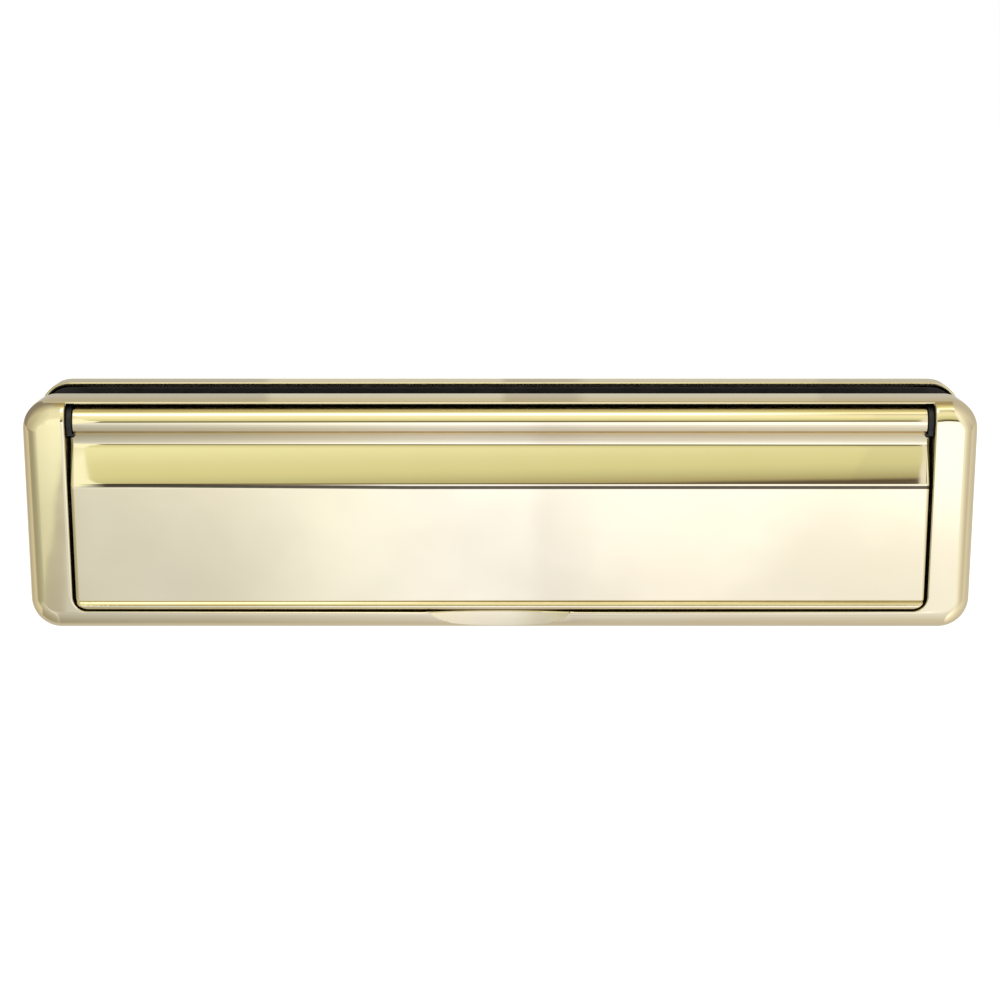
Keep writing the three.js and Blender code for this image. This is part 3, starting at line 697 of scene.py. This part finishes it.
def cross_recess(half, x, height, arm, blade, face, floor):
    """The cross in a screw's head, narrower at its floor than at the head's face."""
    corners = []
    for turn in range(4):
        for u, v in ((arm, blade), (blade, blade), (blade, arm)):
            for _ in range(turn):
                u, v = -v, u
            corners.append((u, v))
    beyond = face + (face - floor)
    rings = [[placed(half, x + u, beyond, height + v) for u, v in corners]]
    rings.append([placed(half, x + 0.5 * u, floor, height + 0.5 * v) for u, v in corners])
    return skin("recess", rings)


def bolt(node, half):
    """Pan head bolt: a domed head, a plain neck, and a thread down to the point."""
    x, height, radius, start, end = turned_seat(node, half)
    neck = start + BOLT_HEAD_HEIGHT
    chamfer = TURNED_CHAMFER
    dome = arc(start + 0.6 * BOLT_HEAD_HEIGHT, 0.65 * radius, 1.0, 180, 90, 10)
    profile = []
    for depth, reach in dome:
        across = (reach - 0.65 * radius) * 0.35 * radius + 0.65 * radius
        back = start + (depth - start - 0.6 * BOLT_HEAD_HEIGHT + 1.0) * 0.6 * BOLT_HEAD_HEIGHT
        profile.append((across, back, 0.0))
    profile += [(radius, neck - chamfer, 0.0), (radius - chamfer, neck, 0.0), (BOLT_RADIUS, neck, 0.0)]
    point = end - BOLT_RADIUS / 2
    profile += threaded(BOLT_RADIUS, point - BOLT_THREAD_LENGTH, point, BOLT_PITCH)
    profile.append((BOLT_RADIUS / 2, end, 0.0))
    piece = lathe(f"{node}_turned", half, x, height, profile, BOLT_PITCH)
    arm, blade = 0.55 * radius, 0.14 * radius
    recess = cross_recess(half, x, height, arm, blade, start, start + 0.6 * BOLT_HEAD_HEIGHT)
    boolean(piece, recess, "DIFFERENCE")
    return piece


def post(node, half):
    """Sleeve nut: a low domed head and a hollow shank that takes the bolt."""
    x, height, radius, start, end = turned_seat(node, half)
    neck = start + POST_HEAD_HEIGHT
    chamfer = TURNED_CHAMFER
    dome = ((0.72, 0.0), (0.86, 0.2), (0.96, 0.7), (1.0, 1.2))
    profile = [(share * radius, start + down, 0.0) for share, down in dome]
    profile += [(radius, neck - chamfer, 0.0), (radius - chamfer, neck, 0.0), (POST_RADIUS, neck, 0.0)]
    profile += [(POST_RADIUS, end - chamfer, 0.0), (POST_RADIUS - chamfer, end, 0.0)]
    profile += [(POST_BORE + chamfer, end, 0.0), (POST_BORE, end - chamfer, 0.0), (POST_BORE, neck, 0.0)]
    return lathe(f"{node}_turned", half, x, height, profile)


def chassis_screw(node, half):
    """Countersunk screw, driven from the back: a tapered tip, a coarse thread and a crossed head."""
    x, height, radius, start, end = turned_seat(node, half)
    neck = end - SCREW_HEAD_HEIGHT
    profile = [(SCREW_TIP, start, 0.0)]
    profile += threaded(SCREW_RADIUS, start + 0.1, neck, SCREW_PITCH, SCREW_RADIUS - SCREW_TIP)
    profile += [(radius, end - 0.2, 0.0), (radius, end - 0.05, 0.0), (radius - 0.05, end, 0.0)]
    piece = lathe(f"{node}_turned", half, x, height, profile, SCREW_PITCH, 32)
    floor = end - 0.6 * SCREW_HEAD_HEIGHT
    boolean(piece, cross_recess(half, x, height, 0.55 * radius, 0.15 * radius, end, floor), "DIFFERENCE")
    return piece


def hinge_rod(node, half):
    """The drawn steel rod that the flap turns on, chamfered at both ends."""
    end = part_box(node)[1].x / MM
    thin = ROD_RADIUS - TURNED_CHAMFER
    full = end - TURNED_CHAMFER
    rings = []
    for x, radius in ((-end, thin), (-full, ROD_RADIUS), (full, ROD_RADIUS), (end, thin)):
        points = arc(PIVOT_DEPTH, PIVOT_HEIGHT, radius, 0, 360, 40)[:-1]
        rings.append([placed(half, x, depth, height) for depth, height in points])
    return skin(f"{node}_turned", rings)


# ---- Materials ----


class Tree:
    """A node tree with short ways to add its nodes and feed them."""

    def __init__(self, tree):
        self.tree = tree

    def add(self, kind, **settings):
        node = self.tree.nodes.new(kind)
        for key, value in settings.items():
            setattr(node, key, value)
        return node

    def feed(self, socket, value):
        """Sets a socket to a number or a colour, or joins another node's output to it."""
        if isinstance(value, (int, float)):
            socket.default_value = value
        elif isinstance(value, tuple):
            socket.default_value = (*value, 1)
        else:
            self.tree.links.new(value, socket)

    def sum(self, operation, *values):
        """One Math node."""
        node = self.add("ShaderNodeMath", operation=operation)
        for socket, value in zip(node.inputs, values):
            self.feed(socket, value)
        return node.outputs[0]

    def split(self, vector):
        node = self.add("ShaderNodeSeparateXYZ")
        self.feed(node.inputs[0], vector)
        return node.outputs

    def mix(self, share, first, second, blend="MIX"):
        node = self.add("ShaderNodeMix", data_type="RGBA", blend_type=blend)
        for name, value in (("Factor", share), ("A", first), ("B", second)):
            self.feed(node.inputs[name], value)
        return node.outputs["Result"]

    def ranged(self, source, low, high, from_low=0.3, from_high=0.7):
        node = self.add("ShaderNodeMapRange")
        limits = {"From Min": from_low, "From Max": from_high, "To Min": low, "To Max": high}
        for name, value in {**limits, "Value": source}.items():
            self.feed(node.inputs[name], value)
        return node.outputs["Result"]


class Nodes(Tree):
    """A new material's nodes."""

    def __init__(self, name):
        self.material = bpy.data.materials.new(name)
        self.material.use_nodes = True
        super().__init__(self.material.node_tree)
        self.shader = self.tree.nodes["Principled BSDF"]
        self.where = self.add("ShaderNodeTexCoord").outputs["Object"]

    def noise(self, scale, detail=2.0, roughness=0.5, stretch=(1, 1, 1), turn=(0, 0, 0)):
        mapping = self.add("ShaderNodeMapping")
        mapping.inputs["Rotation"].default_value = turn
        mapping.inputs["Scale"].default_value = stretch
        self.feed(mapping.inputs["Vector"], self.where)
        noise = self.add("ShaderNodeTexNoise")
        noise.inputs["Scale"].default_value = scale
        noise.inputs["Detail"].default_value = detail
        noise.inputs["Roughness"].default_value = roughness
        self.feed(noise.inputs["Vector"], mapping.outputs["Vector"])
        return noise.outputs["Fac"]

    def bump(self, height, distance, under=None):
        node = self.add("ShaderNodeBump")
        node.inputs["Strength"].default_value = 1.0
        node.inputs["Distance"].default_value = distance
        self.feed(node.inputs["Height"], height)
        if under is not None:
            self.feed(node.inputs["Normal"], under)
        return node.outputs["Normal"]

    def finish(self, color=None, roughness=None, normal=None, **uniform):
        for target, source in (("Base Color", color), ("Roughness", roughness), ("Normal", normal)):
            if source is not None:
                self.feed(self.shader.inputs[target], source)
        for key, value in uniform.items():
            self.shader.inputs[key.replace("_", " ")].default_value = value
        return self.material


GOLD = (0.93, 0.85, 0.60)
GOLD_DEEP = (0.915, 0.83, 0.575)


def gold_base(name, rough_low, rough_high, wave, tones=(GOLD, GOLD_DEEP)):
    """Plated gold: two close tones, uneven gloss, and the faint waves and brush grain of polishing."""
    nodes = Nodes(name)
    color = nodes.mix(nodes.ranged(nodes.noise(40.0, 4.0), 0.0, 1.0), *tones)
    roughness = nodes.ranged(nodes.noise(90.0, 5.0, 0.6), rough_low, rough_high)
    waves = nodes.bump(nodes.noise(70.0, 1.0, 0.4, (0.35, 1, 1)), wave)
    grain = nodes.bump(nodes.noise(2600.0, 2.0, 0.5, (0.05, 1, 1)), 0.0000004, under=waves)
    return nodes, color, roughness, grain


def polished_gold(name, rough_low, rough_high):
    nodes, color, roughness, normal = gold_base(name, rough_low, rough_high, 0.00002)
    return nodes.finish(color, roughness, normal, Metallic=1.0)


def satin_gold(name, rough_low, rough_high, light):
    """Gold that is duller or darker than the polished faces."""
    nodes = Nodes(name)
    dark = tuple(0.85 * c for c in light)
    color = nodes.mix(nodes.ranged(nodes.noise(220.0, 5.0), 0.0, 1.0), dark, light)
    roughness = nodes.ranged(nodes.noise(400.0, 3.0), rough_low, rough_high)
    return nodes.finish(color, roughness, nodes.bump(nodes.noise(1400.0, 3.0), 0.00002), Metallic=1.0)


def beaded_gold():
    """The lip's roll: a fine sparkle, and a painted amber reflection on its upper part from the middle
    towards +X.
    """
    tones = ((0.90, 0.81, 0.55), (0.85, 0.75, 0.48))
    nodes, color, roughness, normal = gold_base("beaded_gold", 0.04, 0.08, 0.00001, tones)
    sparkle = nodes.bump(nodes.noise(900.0, 2.0, 0.6, (0.6, 1, 1)), 0.000012, under=normal)
    x, _, z = nodes.split(nodes.where)
    start = (FLAP_BOTTOM + LIP_UNDER_ROLL + 0.9) * MM
    upper = nodes.ranged(z, 0.0, 1.0, start, start + 0.0004)
    amber = nodes.sum("MULTIPLY", upper, nodes.ranged(x, 0.0, 1.0, -0.07, 0.0))
    # Painted amber reflection: the colour that the lip's upper part takes towards +X.
    amber_reflection = nodes.mix(nodes.noise(120.0, 4.0), (0.40, 0.31, 0.13), (0.56, 0.46, 0.24))
    return nodes.finish(nodes.mix(amber, color, amber_reflection), roughness, sparkle, Metallic=1.0)


def creased_gold():
    """The corner at the slope's foot: a painted shade line that rises towards -X, with a painted amber
    reflection above it there.
    """
    nodes, gold, gloss, normal = gold_base("creased_gold", 0.02, 0.04, 0.00001)
    x, _, z = nodes.split(nodes.where)
    away = nodes.ranged(x, 1.0, 0.0, -0.137, -0.128)
    rise = nodes.ranged(x, 0.0006, 0.0, -0.12, -0.03)
    height = nodes.sum("SUBTRACT", z, rise)
    foot = (SLOPE_FOOT_HEIGHT - STEP_HEIGHT - 0.08) * MM
    above = nodes.ranged(height, 1.0, 0.0, foot - 0.0001, foot + 0.0001)
    top = (SLOPE_FOOT_HEIGHT + 0.15) * MM
    below = nodes.ranged(height, 0.0, 1.0, top - 0.0001, top + 0.0001)
    unshaded = nodes.sum("MAXIMUM", nodes.sum("MAXIMUM", above, below), away)
    amber = nodes.sum("MULTIPLY", below, nodes.ranged(x, 1.0, 0.0, -0.065, -0.035))
    # Painted amber reflection above the line, towards -X.
    painted_amber = nodes.mix(nodes.noise(200.0, 3.0), (0.38, 0.29, 0.11), (0.46, 0.36, 0.15))
    amber_reflection = nodes.mix(amber, gold, painted_amber)
    # Painted shade: the dark line along the corner.
    dark = nodes.mix(nodes.noise(300.0, 4.0), (0.07, 0.06, 0.04), (0.12, 0.10, 0.07))
    return nodes.finish(nodes.mix(unshaded, dark, amber_reflection), gloss, normal, Metallic=1.0)


def linished_gold():
    """The rim's end, left with the fine slanting lines of the belt that squared it."""
    nodes = Nodes("linished_gold")
    lines = nodes.noise(3200.0, 2.0, 0.5, (1.0, 1.0, 0.08), (0, math.radians(35), 0))
    color = nodes.mix(nodes.ranged(lines, 0.0, 1.0), (0.62, 0.53, 0.27), GOLD)
    roughness = nodes.ranged(lines, 0.15, 0.3)
    return nodes.finish(color, roughness, nodes.bump(lines, 0.00001), Metallic=1.0)


def moulded(name, dark, light, rough_low, rough_high, grain_scale, grain_depth):
    """Black moulded plastic, rubber or foam: a faint mottle, a fine grain and uneven gloss."""
    nodes = Nodes(name)
    color = nodes.mix(nodes.ranged(nodes.noise(120.0, 4.0), 0.0, 1.0), dark, light)
    roughness = nodes.ranged(nodes.noise(300.0, 3.0), rough_low, rough_high)
    normal = nodes.bump(nodes.noise(grain_scale, 3.0, 0.6), grain_depth)
    return nodes.finish(color, roughness, normal)


def drawn_steel(name, base, rough_low, rough_high):
    nodes = Nodes(name)
    shade = tuple(0.8 * c for c in base)
    color = nodes.mix(nodes.ranged(nodes.noise(500.0, 4.0), 0.0, 1.0), shade, base)
    roughness = nodes.ranged(nodes.noise(900.0, 3.0, 0.6), rough_low, rough_high)
    normal = nodes.bump(nodes.noise(3000.0, 2.0), 0.000004)
    return nodes.finish(color, roughness, normal, Metallic=1.0)


# ---- Stage ----

FLOOR_DROP = 0.30
FLOOR_HALF_SIZE = 6.0
FLOOR_GLOW = 0.7
CAMERA_LENS = 78.35
CAMERA_PLACE = (0.0, -686.918 + PLATE_FRONT, 174.460)
CAMERA_PITCH = 13.798


def camera():
    data = bpy.data.cameras.new("camera")
    data.sensor_width = 36.0
    data.lens = CAMERA_LENS
    data.clip_start = 0.01
    eye = new_object("camera", data)
    turn = Matrix.Rotation(math.radians(90 - CAMERA_PITCH), 4, "X")
    eye.matrix_world = Matrix.Translation(Vector(CAMERA_PLACE) * MM) @ turn
    bpy.context.scene.camera = eye
    bpy.context.scene.view_settings.view_transform = "Standard"


# What the metal mirrors. First by the angle up from the street side's horizon and on over the top to the
# house side: a white table below, its dark far edge, a yellow wall, a lamp, and a grey backdrop behind.
SURROUND = [
    (-180, (0.60, 0.60, 0.60)),
    (-112, (0.60, 0.56, 0.55)),
    (-98, (0.60, 0.56, 0.53)),
    (-80, (0.62, 0.58, 0.54)),
    (-66, (0.66, 0.62, 0.60)),
    (-55, (0.70, 0.68, 0.70)),
    (-35, (0.80, 0.80, 0.86)),
    (-22, (0.98, 0.98, 1.10)),
    (-16, (1.05, 1.07, 1.22)),
    (1.5, (1.05, 1.08, 1.20)),
    (2.6, (0.85, 0.85, 0.75)),
    (3.3, (0.13, 0.10, 0.07)),
    (9.9, (0.13, 0.10, 0.07)),
    (10.5, (0.42, 0.36, 0.21)),
    (13.4, (0.594, 0.564, 0.33)),
    (15.1, (0.65, 0.64, 0.397)),
    (17.5, (0.75, 0.73, 0.43)),
    (23, (0.81, 0.79, 0.50)),
    (30, (0.93, 0.93, 0.64)),
    (36, (1.02, 0.97, 0.67)),
    (43, (1.04, 0.95, 0.645)),
    (50, (1.06, 1.09, 0.97)),
    (57, (2.0, 2.0, 1.9)),
    (62, (2.6, 2.6, 2.6)),
    (66, (2.0, 2.0, 1.9)),
    (69, (1.10, 1.05, 0.70)),
    (73, (0.945, 0.895, 0.53)),
    (81, (0.68, 0.634, 0.35)),
    (90, (0.443, 0.363, 0.195)),
    (106, (0.36, 0.28, 0.15)),
    (118, (0.62, 0.58, 0.50)),
    (180, (0.66, 0.64, 0.58)),
]
# How bright the table and the backdrop are from left to right, by a direction's sideways part.
# TABLE_LIFT goes by the same angle as SURROUND.
TABLE = [
    (-0.50, (0.60, 0.58, 0.46)),
    (-0.29, (0.66, 0.64, 0.53)),
    (-0.235, (0.86, 0.86, 0.78)),
    (-0.208, (0.66, 0.645, 0.58)),
    (-0.202, (0.62, 0.605, 0.54)),
    (-0.185, (0.69, 0.69, 0.65)),
    (-0.13, (0.78, 0.77, 0.73)),
    (-0.08, (0.93, 0.93, 0.90)),
    (-0.02, (1.03, 1.03, 1.08)),
    (0.012, (1.02, 1.02, 1.08)),
    (0.020, (0.94, 0.93, 0.97)),
    (0.032, (0.95, 0.94, 0.98)),
    (0.045, (1.00, 0.99, 1.02)),
    (0.10, (1.04, 1.03, 1.04)),
    (0.25, (1.10, 1.09, 1.03)),
]
TABLE_LIFT = [(-60, 0.95), (-17.5, 0.95), (-16.1, 0.97), (-14.8, 1.03)]
TABLE_LIFT += [(-13.5, 1.14), (-11.5, 1.2), (4, 1.1)]
BACKDROP = [
    (-0.25, (0.80, 0.80, 0.82)),
    (-0.108, (0.80, 0.80, 0.82)),
    (-0.104, (1.02, 1.02, 1.00)),
    (0.000, (1.00, 1.00, 1.00)),
    (0.003, (0.80, 0.78, 0.78)),
    (0.034, (0.80, 0.78, 0.78)),
    (0.040, (0.98, 0.98, 0.98)),
    (0.143, (0.98, 0.98, 0.98)),
    (0.146, (0.88, 0.88, 0.90)),
    (0.25, (0.86, 0.86, 0.88)),
]
# Where the left wall starts, by the same angle. Each wall's colour goes by the compass angle from
# the street, and its lift is how much brighter it is by the first angle.
LEFT_EDGE = [(-60, 0.7), (-22, 0.6), (-18, 0.2075), (-16.5, 0.2045), (-14.3, 0.199), (-11.9, 0.1955)]
LEFT_EDGE += [(-2, 0.184), (0.8, 0.182), (6, 0.181), (9.5, 0.179), (13.6, 0.185), (23.4, 0.187)]
LEFT_EDGE += [(28.6, 0.1885), (50, 0.191), (62, 0.195), (105, 0.205), (116, 0.45)]
LEFT_WALL = [
    (11.9, (0.82, 0.83, 0.70)),
    (12.15, (0.79, 0.77, 0.65)),
    (12.3, (0.71, 0.69, 0.58)),
    (18.6, (0.60, 0.595, 0.47)),
    (46, (0.445, 0.42, 0.33)),
    (76, (0.375, 0.345, 0.265)),
    (113, (0.275, 0.245, 0.215)),
    (180, (0.25, 0.22, 0.19)),
]
LEFT_LIFT = [(-75, 1.9), (-45, 1.8), (-30, 0.95), (-16.5, 0.88), (-15.4, 0.97), (-14.3, 1.0)]
LEFT_LIFT += [(-13, 1.16), (-11.9, 1.3), (30, 1.3), (60, 1.5), (110, 1.0)]
LEFT_RIM_TINT = (0.78, 0.78, 0.74)
RIGHT_EDGE = 0.31
RIGHT_EDGE_WIDTH = 0.06
RIGHT_WALL = [
    (16, (0.97, 0.96, 0.92)),
    (27, (0.96, 0.955, 0.92)),
    (33, (0.90, 0.89, 0.83)),
    (44, (0.75, 0.70, 0.65)),
    (58, (0.64, 0.59, 0.50)),
    (70, (0.575, 0.53, 0.472)),
    (86, (0.50, 0.48, 0.443)),
    (110, (0.45, 0.42, 0.38)),
    (180, (0.42, 0.40, 0.37)),
]
RIGHT_LIFT = [(-75, 1.4), (-45, 1.35), (-30, 1.0), (10, 1.0), (60, 1.25)]
# How bright the house side is, by the same angle and by a direction's sideways part.
HOUSE_LIFT = [(-180, 1.12), (-175, 1.52), (-164, 1.62), (-150, 1.4), (-128, 1.1), (-114, 1.0)]
HOUSE_SIDES = [(-0.35, 0.86), (-0.12, 0.97), (0.04, 1.02), (0.16, 0.93), (0.35, 0.99)]
# A pale post at the right end of the yellow wall, and the slanting edge of the shade beside it.
POST_EDGE = [(0, 0.1885), (60, 0.192)]
POST_END = 0.1945
POST_COLOR = (0.90, 0.87, 0.85)
CRISP = 0.001
SHADE_EDGE = [(9, 0.155), (28.6, 0.1676)]
SHADE_TINT = (0.94, 0.94, 0.96)
# Each area's ends, as the value where it starts and the value where it is whole.
TABLE_TOP = (3.3, 2.0)
TABLE_BACK = (-100.0, -80.0)
WALL_FOOT = (0.0, 2.0)
WALL_TOP = (75.0, 60.0)
LAMP_FOOT = (50.0, 57.0)
LAMP_TOP = (73.0, 66.0)
LAMP_END = (0.08, 0.16)
TABLE_CORNER_SIDE = (-0.1945, -0.1965)
TABLE_CORNER_FOOT = (-17.5, -16.8)
LEFT_RIM = (0.0025, 0.0008)
LEFT_RIM_TOP = (-12.5, -14.0)
HOUSE_START = (-112.0, -120.0)
BACKDROP_START = (112.0, 118.0)
# The table's darker far left corner, and the lamp's weaker right part.
TABLE_CORNER_TINT = (0.82, 0.80, 0.72)
LAMP_END_TINT = (0.45, 0.40, 0.30)
# How much the tones of SURROUND slope from left to right, in degrees, and the cloudiness of the
# table and of the house side.
SLANT = 18.0
CLOUD_SCALE = 14.0
CLOUD = [(0.35, 0.93), (0.65, 1.04)]


class Sky(Tree):
    """The surroundings' nodes."""

    def __init__(self):
        world = bpy.data.worlds.new("surround")
        bpy.context.scene.world = world
        world.use_nodes = True
        super().__init__(world.node_tree)

    def ramp(self, stops, value):
        """A colour or, from stops that are plain numbers, a grey that follows a value through its stops."""
        low, high = stops[0][0], stops[-1][0]
        node = self.add("ShaderNodeValToRGB")
        elements = node.color_ramp.elements
        for place, (at, color) in enumerate(stops):
            share = (at - low) / (high - low)
            stop = elements[place] if place < 2 else elements.new(share)
            stop.position = share
            stop.color = (*color, 1) if isinstance(color, tuple) else (color, color, color, 1)
        self.feed(node.inputs[0], self.between(value, low, high))
        return node.outputs[0]

    def between(self, value, low, high):
        return self.ranged(value, 0.0, 1.0, low, high)

    def both(self, first, second):
        return self.sum("MULTIPLY", first, second)


def surround():
    """The studio that lights the object and that its metal mirrors. The camera sees white instead."""
    sky = Sky()
    direction = sky.add("ShaderNodeTexCoord").outputs["Generated"]
    x, y, z = sky.split(direction)
    ahead = sky.sum("MULTIPLY", y, -1.0)
    angle = sky.sum("DEGREES", sky.sum("ARCTAN2", z, ahead))
    sloping = sky.sum("SUBTRACT", angle, sky.sum("MULTIPLY", x, SLANT))
    compass = sky.sum("ABSOLUTE", sky.sum("DEGREES", sky.sum("ARCTAN2", x, ahead)))
    cloud = sky.add("ShaderNodeTexNoise")
    cloud.inputs["Scale"].default_value = CLOUD_SCALE
    cloud.inputs["Detail"].default_value = 3.0
    sky.feed(cloud.inputs["Vector"], direction)
    soft = sky.ramp(CLOUD, cloud.outputs["Fac"])

    color = sky.ramp(SURROUND, sloping)
    low = sky.both(sky.between(sloping, *TABLE_TOP), sky.between(angle, *TABLE_BACK))
    color = sky.mix(low, color, sky.ramp(TABLE, x), "MULTIPLY")
    color = sky.mix(low, color, sky.ramp(TABLE_LIFT, angle), "MULTIPLY")
    color = sky.mix(low, color, soft, "MULTIPLY")
    wall = sky.both(sky.between(angle, *WALL_FOOT), sky.between(angle, *WALL_TOP))
    beside = sky.sum("SUBTRACT", x, sky.ramp(SHADE_EDGE, angle))
    shaded = sky.both(wall, sky.between(beside, 0.0, 2 * CRISP))
    color = sky.mix(shaded, color, SHADE_TINT, "MULTIPLY")
    along = sky.sum("SUBTRACT", x, sky.ramp(POST_EDGE, angle))
    within = sky.between(x, POST_END + CRISP, POST_END)
    post_area = sky.both(sky.between(along, 0.0, CRISP), within)
    color = sky.mix(sky.both(wall, post_area), color, POST_COLOR)
    corner = sky.both(sky.between(x, *TABLE_CORNER_SIDE), sky.between(angle, *TABLE_CORNER_FOOT))
    color = sky.mix(sky.both(low, corner), color, TABLE_CORNER_TINT, "MULTIPLY")
    lamp = sky.both(sky.between(angle, *LAMP_FOOT), sky.between(angle, *LAMP_TOP))
    far_side = sky.both(lamp, sky.between(x, *LAMP_END))
    color = sky.mix(far_side, color, LAMP_END_TINT, "MULTIPLY")
    house = sky.between(angle, *HOUSE_START)
    color = sky.mix(house, color, sky.ramp(HOUSE_LIFT, angle), "MULTIPLY")
    color = sky.mix(house, color, sky.ramp(HOUSE_SIDES, x), "MULTIPLY")
    color = sky.mix(house, color, soft, "MULTIPLY")
    behind = sky.between(angle, *BACKDROP_START)
    color = sky.mix(behind, color, sky.ramp(BACKDROP, x), "MULTIPLY")

    left = sky.mix(1.0, sky.ramp(LEFT_WALL, compass), sky.ramp(LEFT_LIFT, angle), "MULTIPLY")
    edge = sky.ramp(LEFT_EDGE, angle)
    past = sky.sum("SUBTRACT", sky.sum("MULTIPLY", x, -1.0), edge)
    edging = sky.both(sky.between(past, *LEFT_RIM), sky.between(angle, *LEFT_RIM_TOP))
    left = sky.mix(edging, left, LEFT_RIM_TINT, "MULTIPLY")
    color = sky.mix(sky.between(past, 0.0, CRISP), color, left)
    right = sky.mix(1.0, sky.ramp(RIGHT_WALL, compass), sky.ramp(RIGHT_LIFT, angle), "MULTIPLY")
    color = sky.mix(sky.between(x, RIGHT_EDGE, RIGHT_EDGE + RIGHT_EDGE_WIDTH), color, right)

    sight = sky.add("ShaderNodeLightPath").outputs["Is Camera Ray"]
    color = sky.mix(sight, color, (1.0, 1.0, 1.0))
    sky.feed(sky.tree.nodes["Background"].inputs["Color"], color)


def floor():
    """A plain pale floor. It glows for the camera only, and is clear from below and to reflections."""
    bm = bmesh.new()
    bmesh.ops.create_grid(bm, x_segments=1, y_segments=1, size=FLOOR_HALF_SIZE)
    piece = mesh_object("floor", bm)
    piece.location.z = -FLOOR_DROP
    nodes = Nodes("floor_paint")
    tone = nodes.ranged(nodes.noise(3.0, 3.0), 0.0, 1.0)
    color = nodes.mix(tone, (0.80, 0.80, 0.80), (0.82, 0.82, 0.82))
    material = nodes.finish(color, Roughness=0.9)
    sight = nodes.add("ShaderNodeLightPath").outputs["Is Camera Ray"]
    nodes.shader.inputs["Emission Color"].default_value = (1, 1, 1, 1)
    glow = nodes.sum("MULTIPLY", sight, FLOOR_GLOW)
    nodes.feed(nodes.shader.inputs["Emission Strength"], glow)
    facing = nodes.add("ShaderNodeNewGeometry").outputs["Backfacing"]
    clear = nodes.add("ShaderNodeBsdfTransparent")
    choose = nodes.add("ShaderNodeMixShader")
    nodes.feed(choose.inputs["Fac"], facing)
    nodes.feed(choose.inputs[1], nodes.shader.outputs["BSDF"])
    nodes.feed(choose.inputs[2], clear.outputs["BSDF"])
    nodes.feed(nodes.tree.nodes["Material Output"].inputs["Surface"], choose.outputs["Shader"])
    piece.data.materials.append(material)
    piece.visible_glossy = False


# ---- Build ----


def settle(piece, node, body, material=None):
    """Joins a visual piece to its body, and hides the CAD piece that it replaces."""
    if material is not None:
        piece.data.materials.append(material)
    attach(piece, body)
    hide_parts(node)
    return piece


camera()
surround()
floor()

gold = polished_gold("polished_gold", 0.012, 0.03)
soft_gold = polished_gold("soft_gold", 0.15, 0.2)
rim = linished_gold()
as_cast = satin_gold("as_cast_gold", 0.35, 0.5, (0.33, 0.30, 0.21))
satin = satin_gold("satin_gold", 0.16, 0.26, (0.88, 0.81, 0.57))
shade = satin_gold("shaded_gold", 0.05, 0.09, (0.66, 0.50, 0.29))
crease = creased_gold()
bead = beaded_gold()
plastic = moulded("black_plastic", (0.012, 0.012, 0.014), (0.02, 0.02, 0.022), 0.38, 0.5, 1800.0, 0.00002)
nylon = moulded("black_nylon", (0.010, 0.010, 0.012), (0.018, 0.018, 0.022), 0.36, 0.48, 2200.0, 0.00001)
rubber = moulded("rubber", (0.012, 0.012, 0.012), (0.02, 0.02, 0.02), 0.6, 0.75, 2500.0, 0.00003)
foam = moulded("foam", (0.011, 0.011, 0.014), (0.024, 0.023, 0.030), 0.45, 0.6, 900.0, 0.0001)
zinc = drawn_steel("zinc_steel", (0.60, 0.61, 0.63), 0.22, 0.38)
wire_steel = drawn_steel("spring_steel", (0.42, 0.43, 0.45), 0.25, 0.4)

for half, (fixed, hinged) in HALVES.items():
    settle(plate(half, (gold, rim, as_cast, soft_gold)), f"{half}_plate", fixed)
    settle(flap(half, (gold, satin, crease, bead, shade)), f"{half}_flap", hinged)
    settle(refined(f"{half}_chassis"), f"{half}_chassis", fixed, plastic)
    settle(refined(f"{half}_flap_seal", 0.15), f"{half}_flap_seal", fixed, rubber)
    settle(refined(f"{half}_gasket", 0.3), f"{half}_gasket", fixed, foam)
    for name, side in (("left", -1), ("right", 1)):
        settle(spring(half, side), f"{half}_spring_{name}", fixed, wire_steel)
        cap = refined(f"{half}_hinge_cap_{name}", 0.15, lift_foot)
        settle(cap, f"{half}_hinge_cap_{name}", hinged, nylon)

    turned = {f"{half}_hinge_rod": hinge_rod}
    fixing, fastener = ("fixing_post", post) if half == "outer" else ("fixing_bolt", bolt)
    for name in ("left", "right"):
        turned[f"{fixing}_{name}"] = fastener
    for number in range(1, 5):
        turned[f"{half}_chassis_screw_{number}"] = chassis_screw
    for node, make in turned.items():
        piece = settle(make(node, half), node, fixed, zinc)
        smooth(piece)
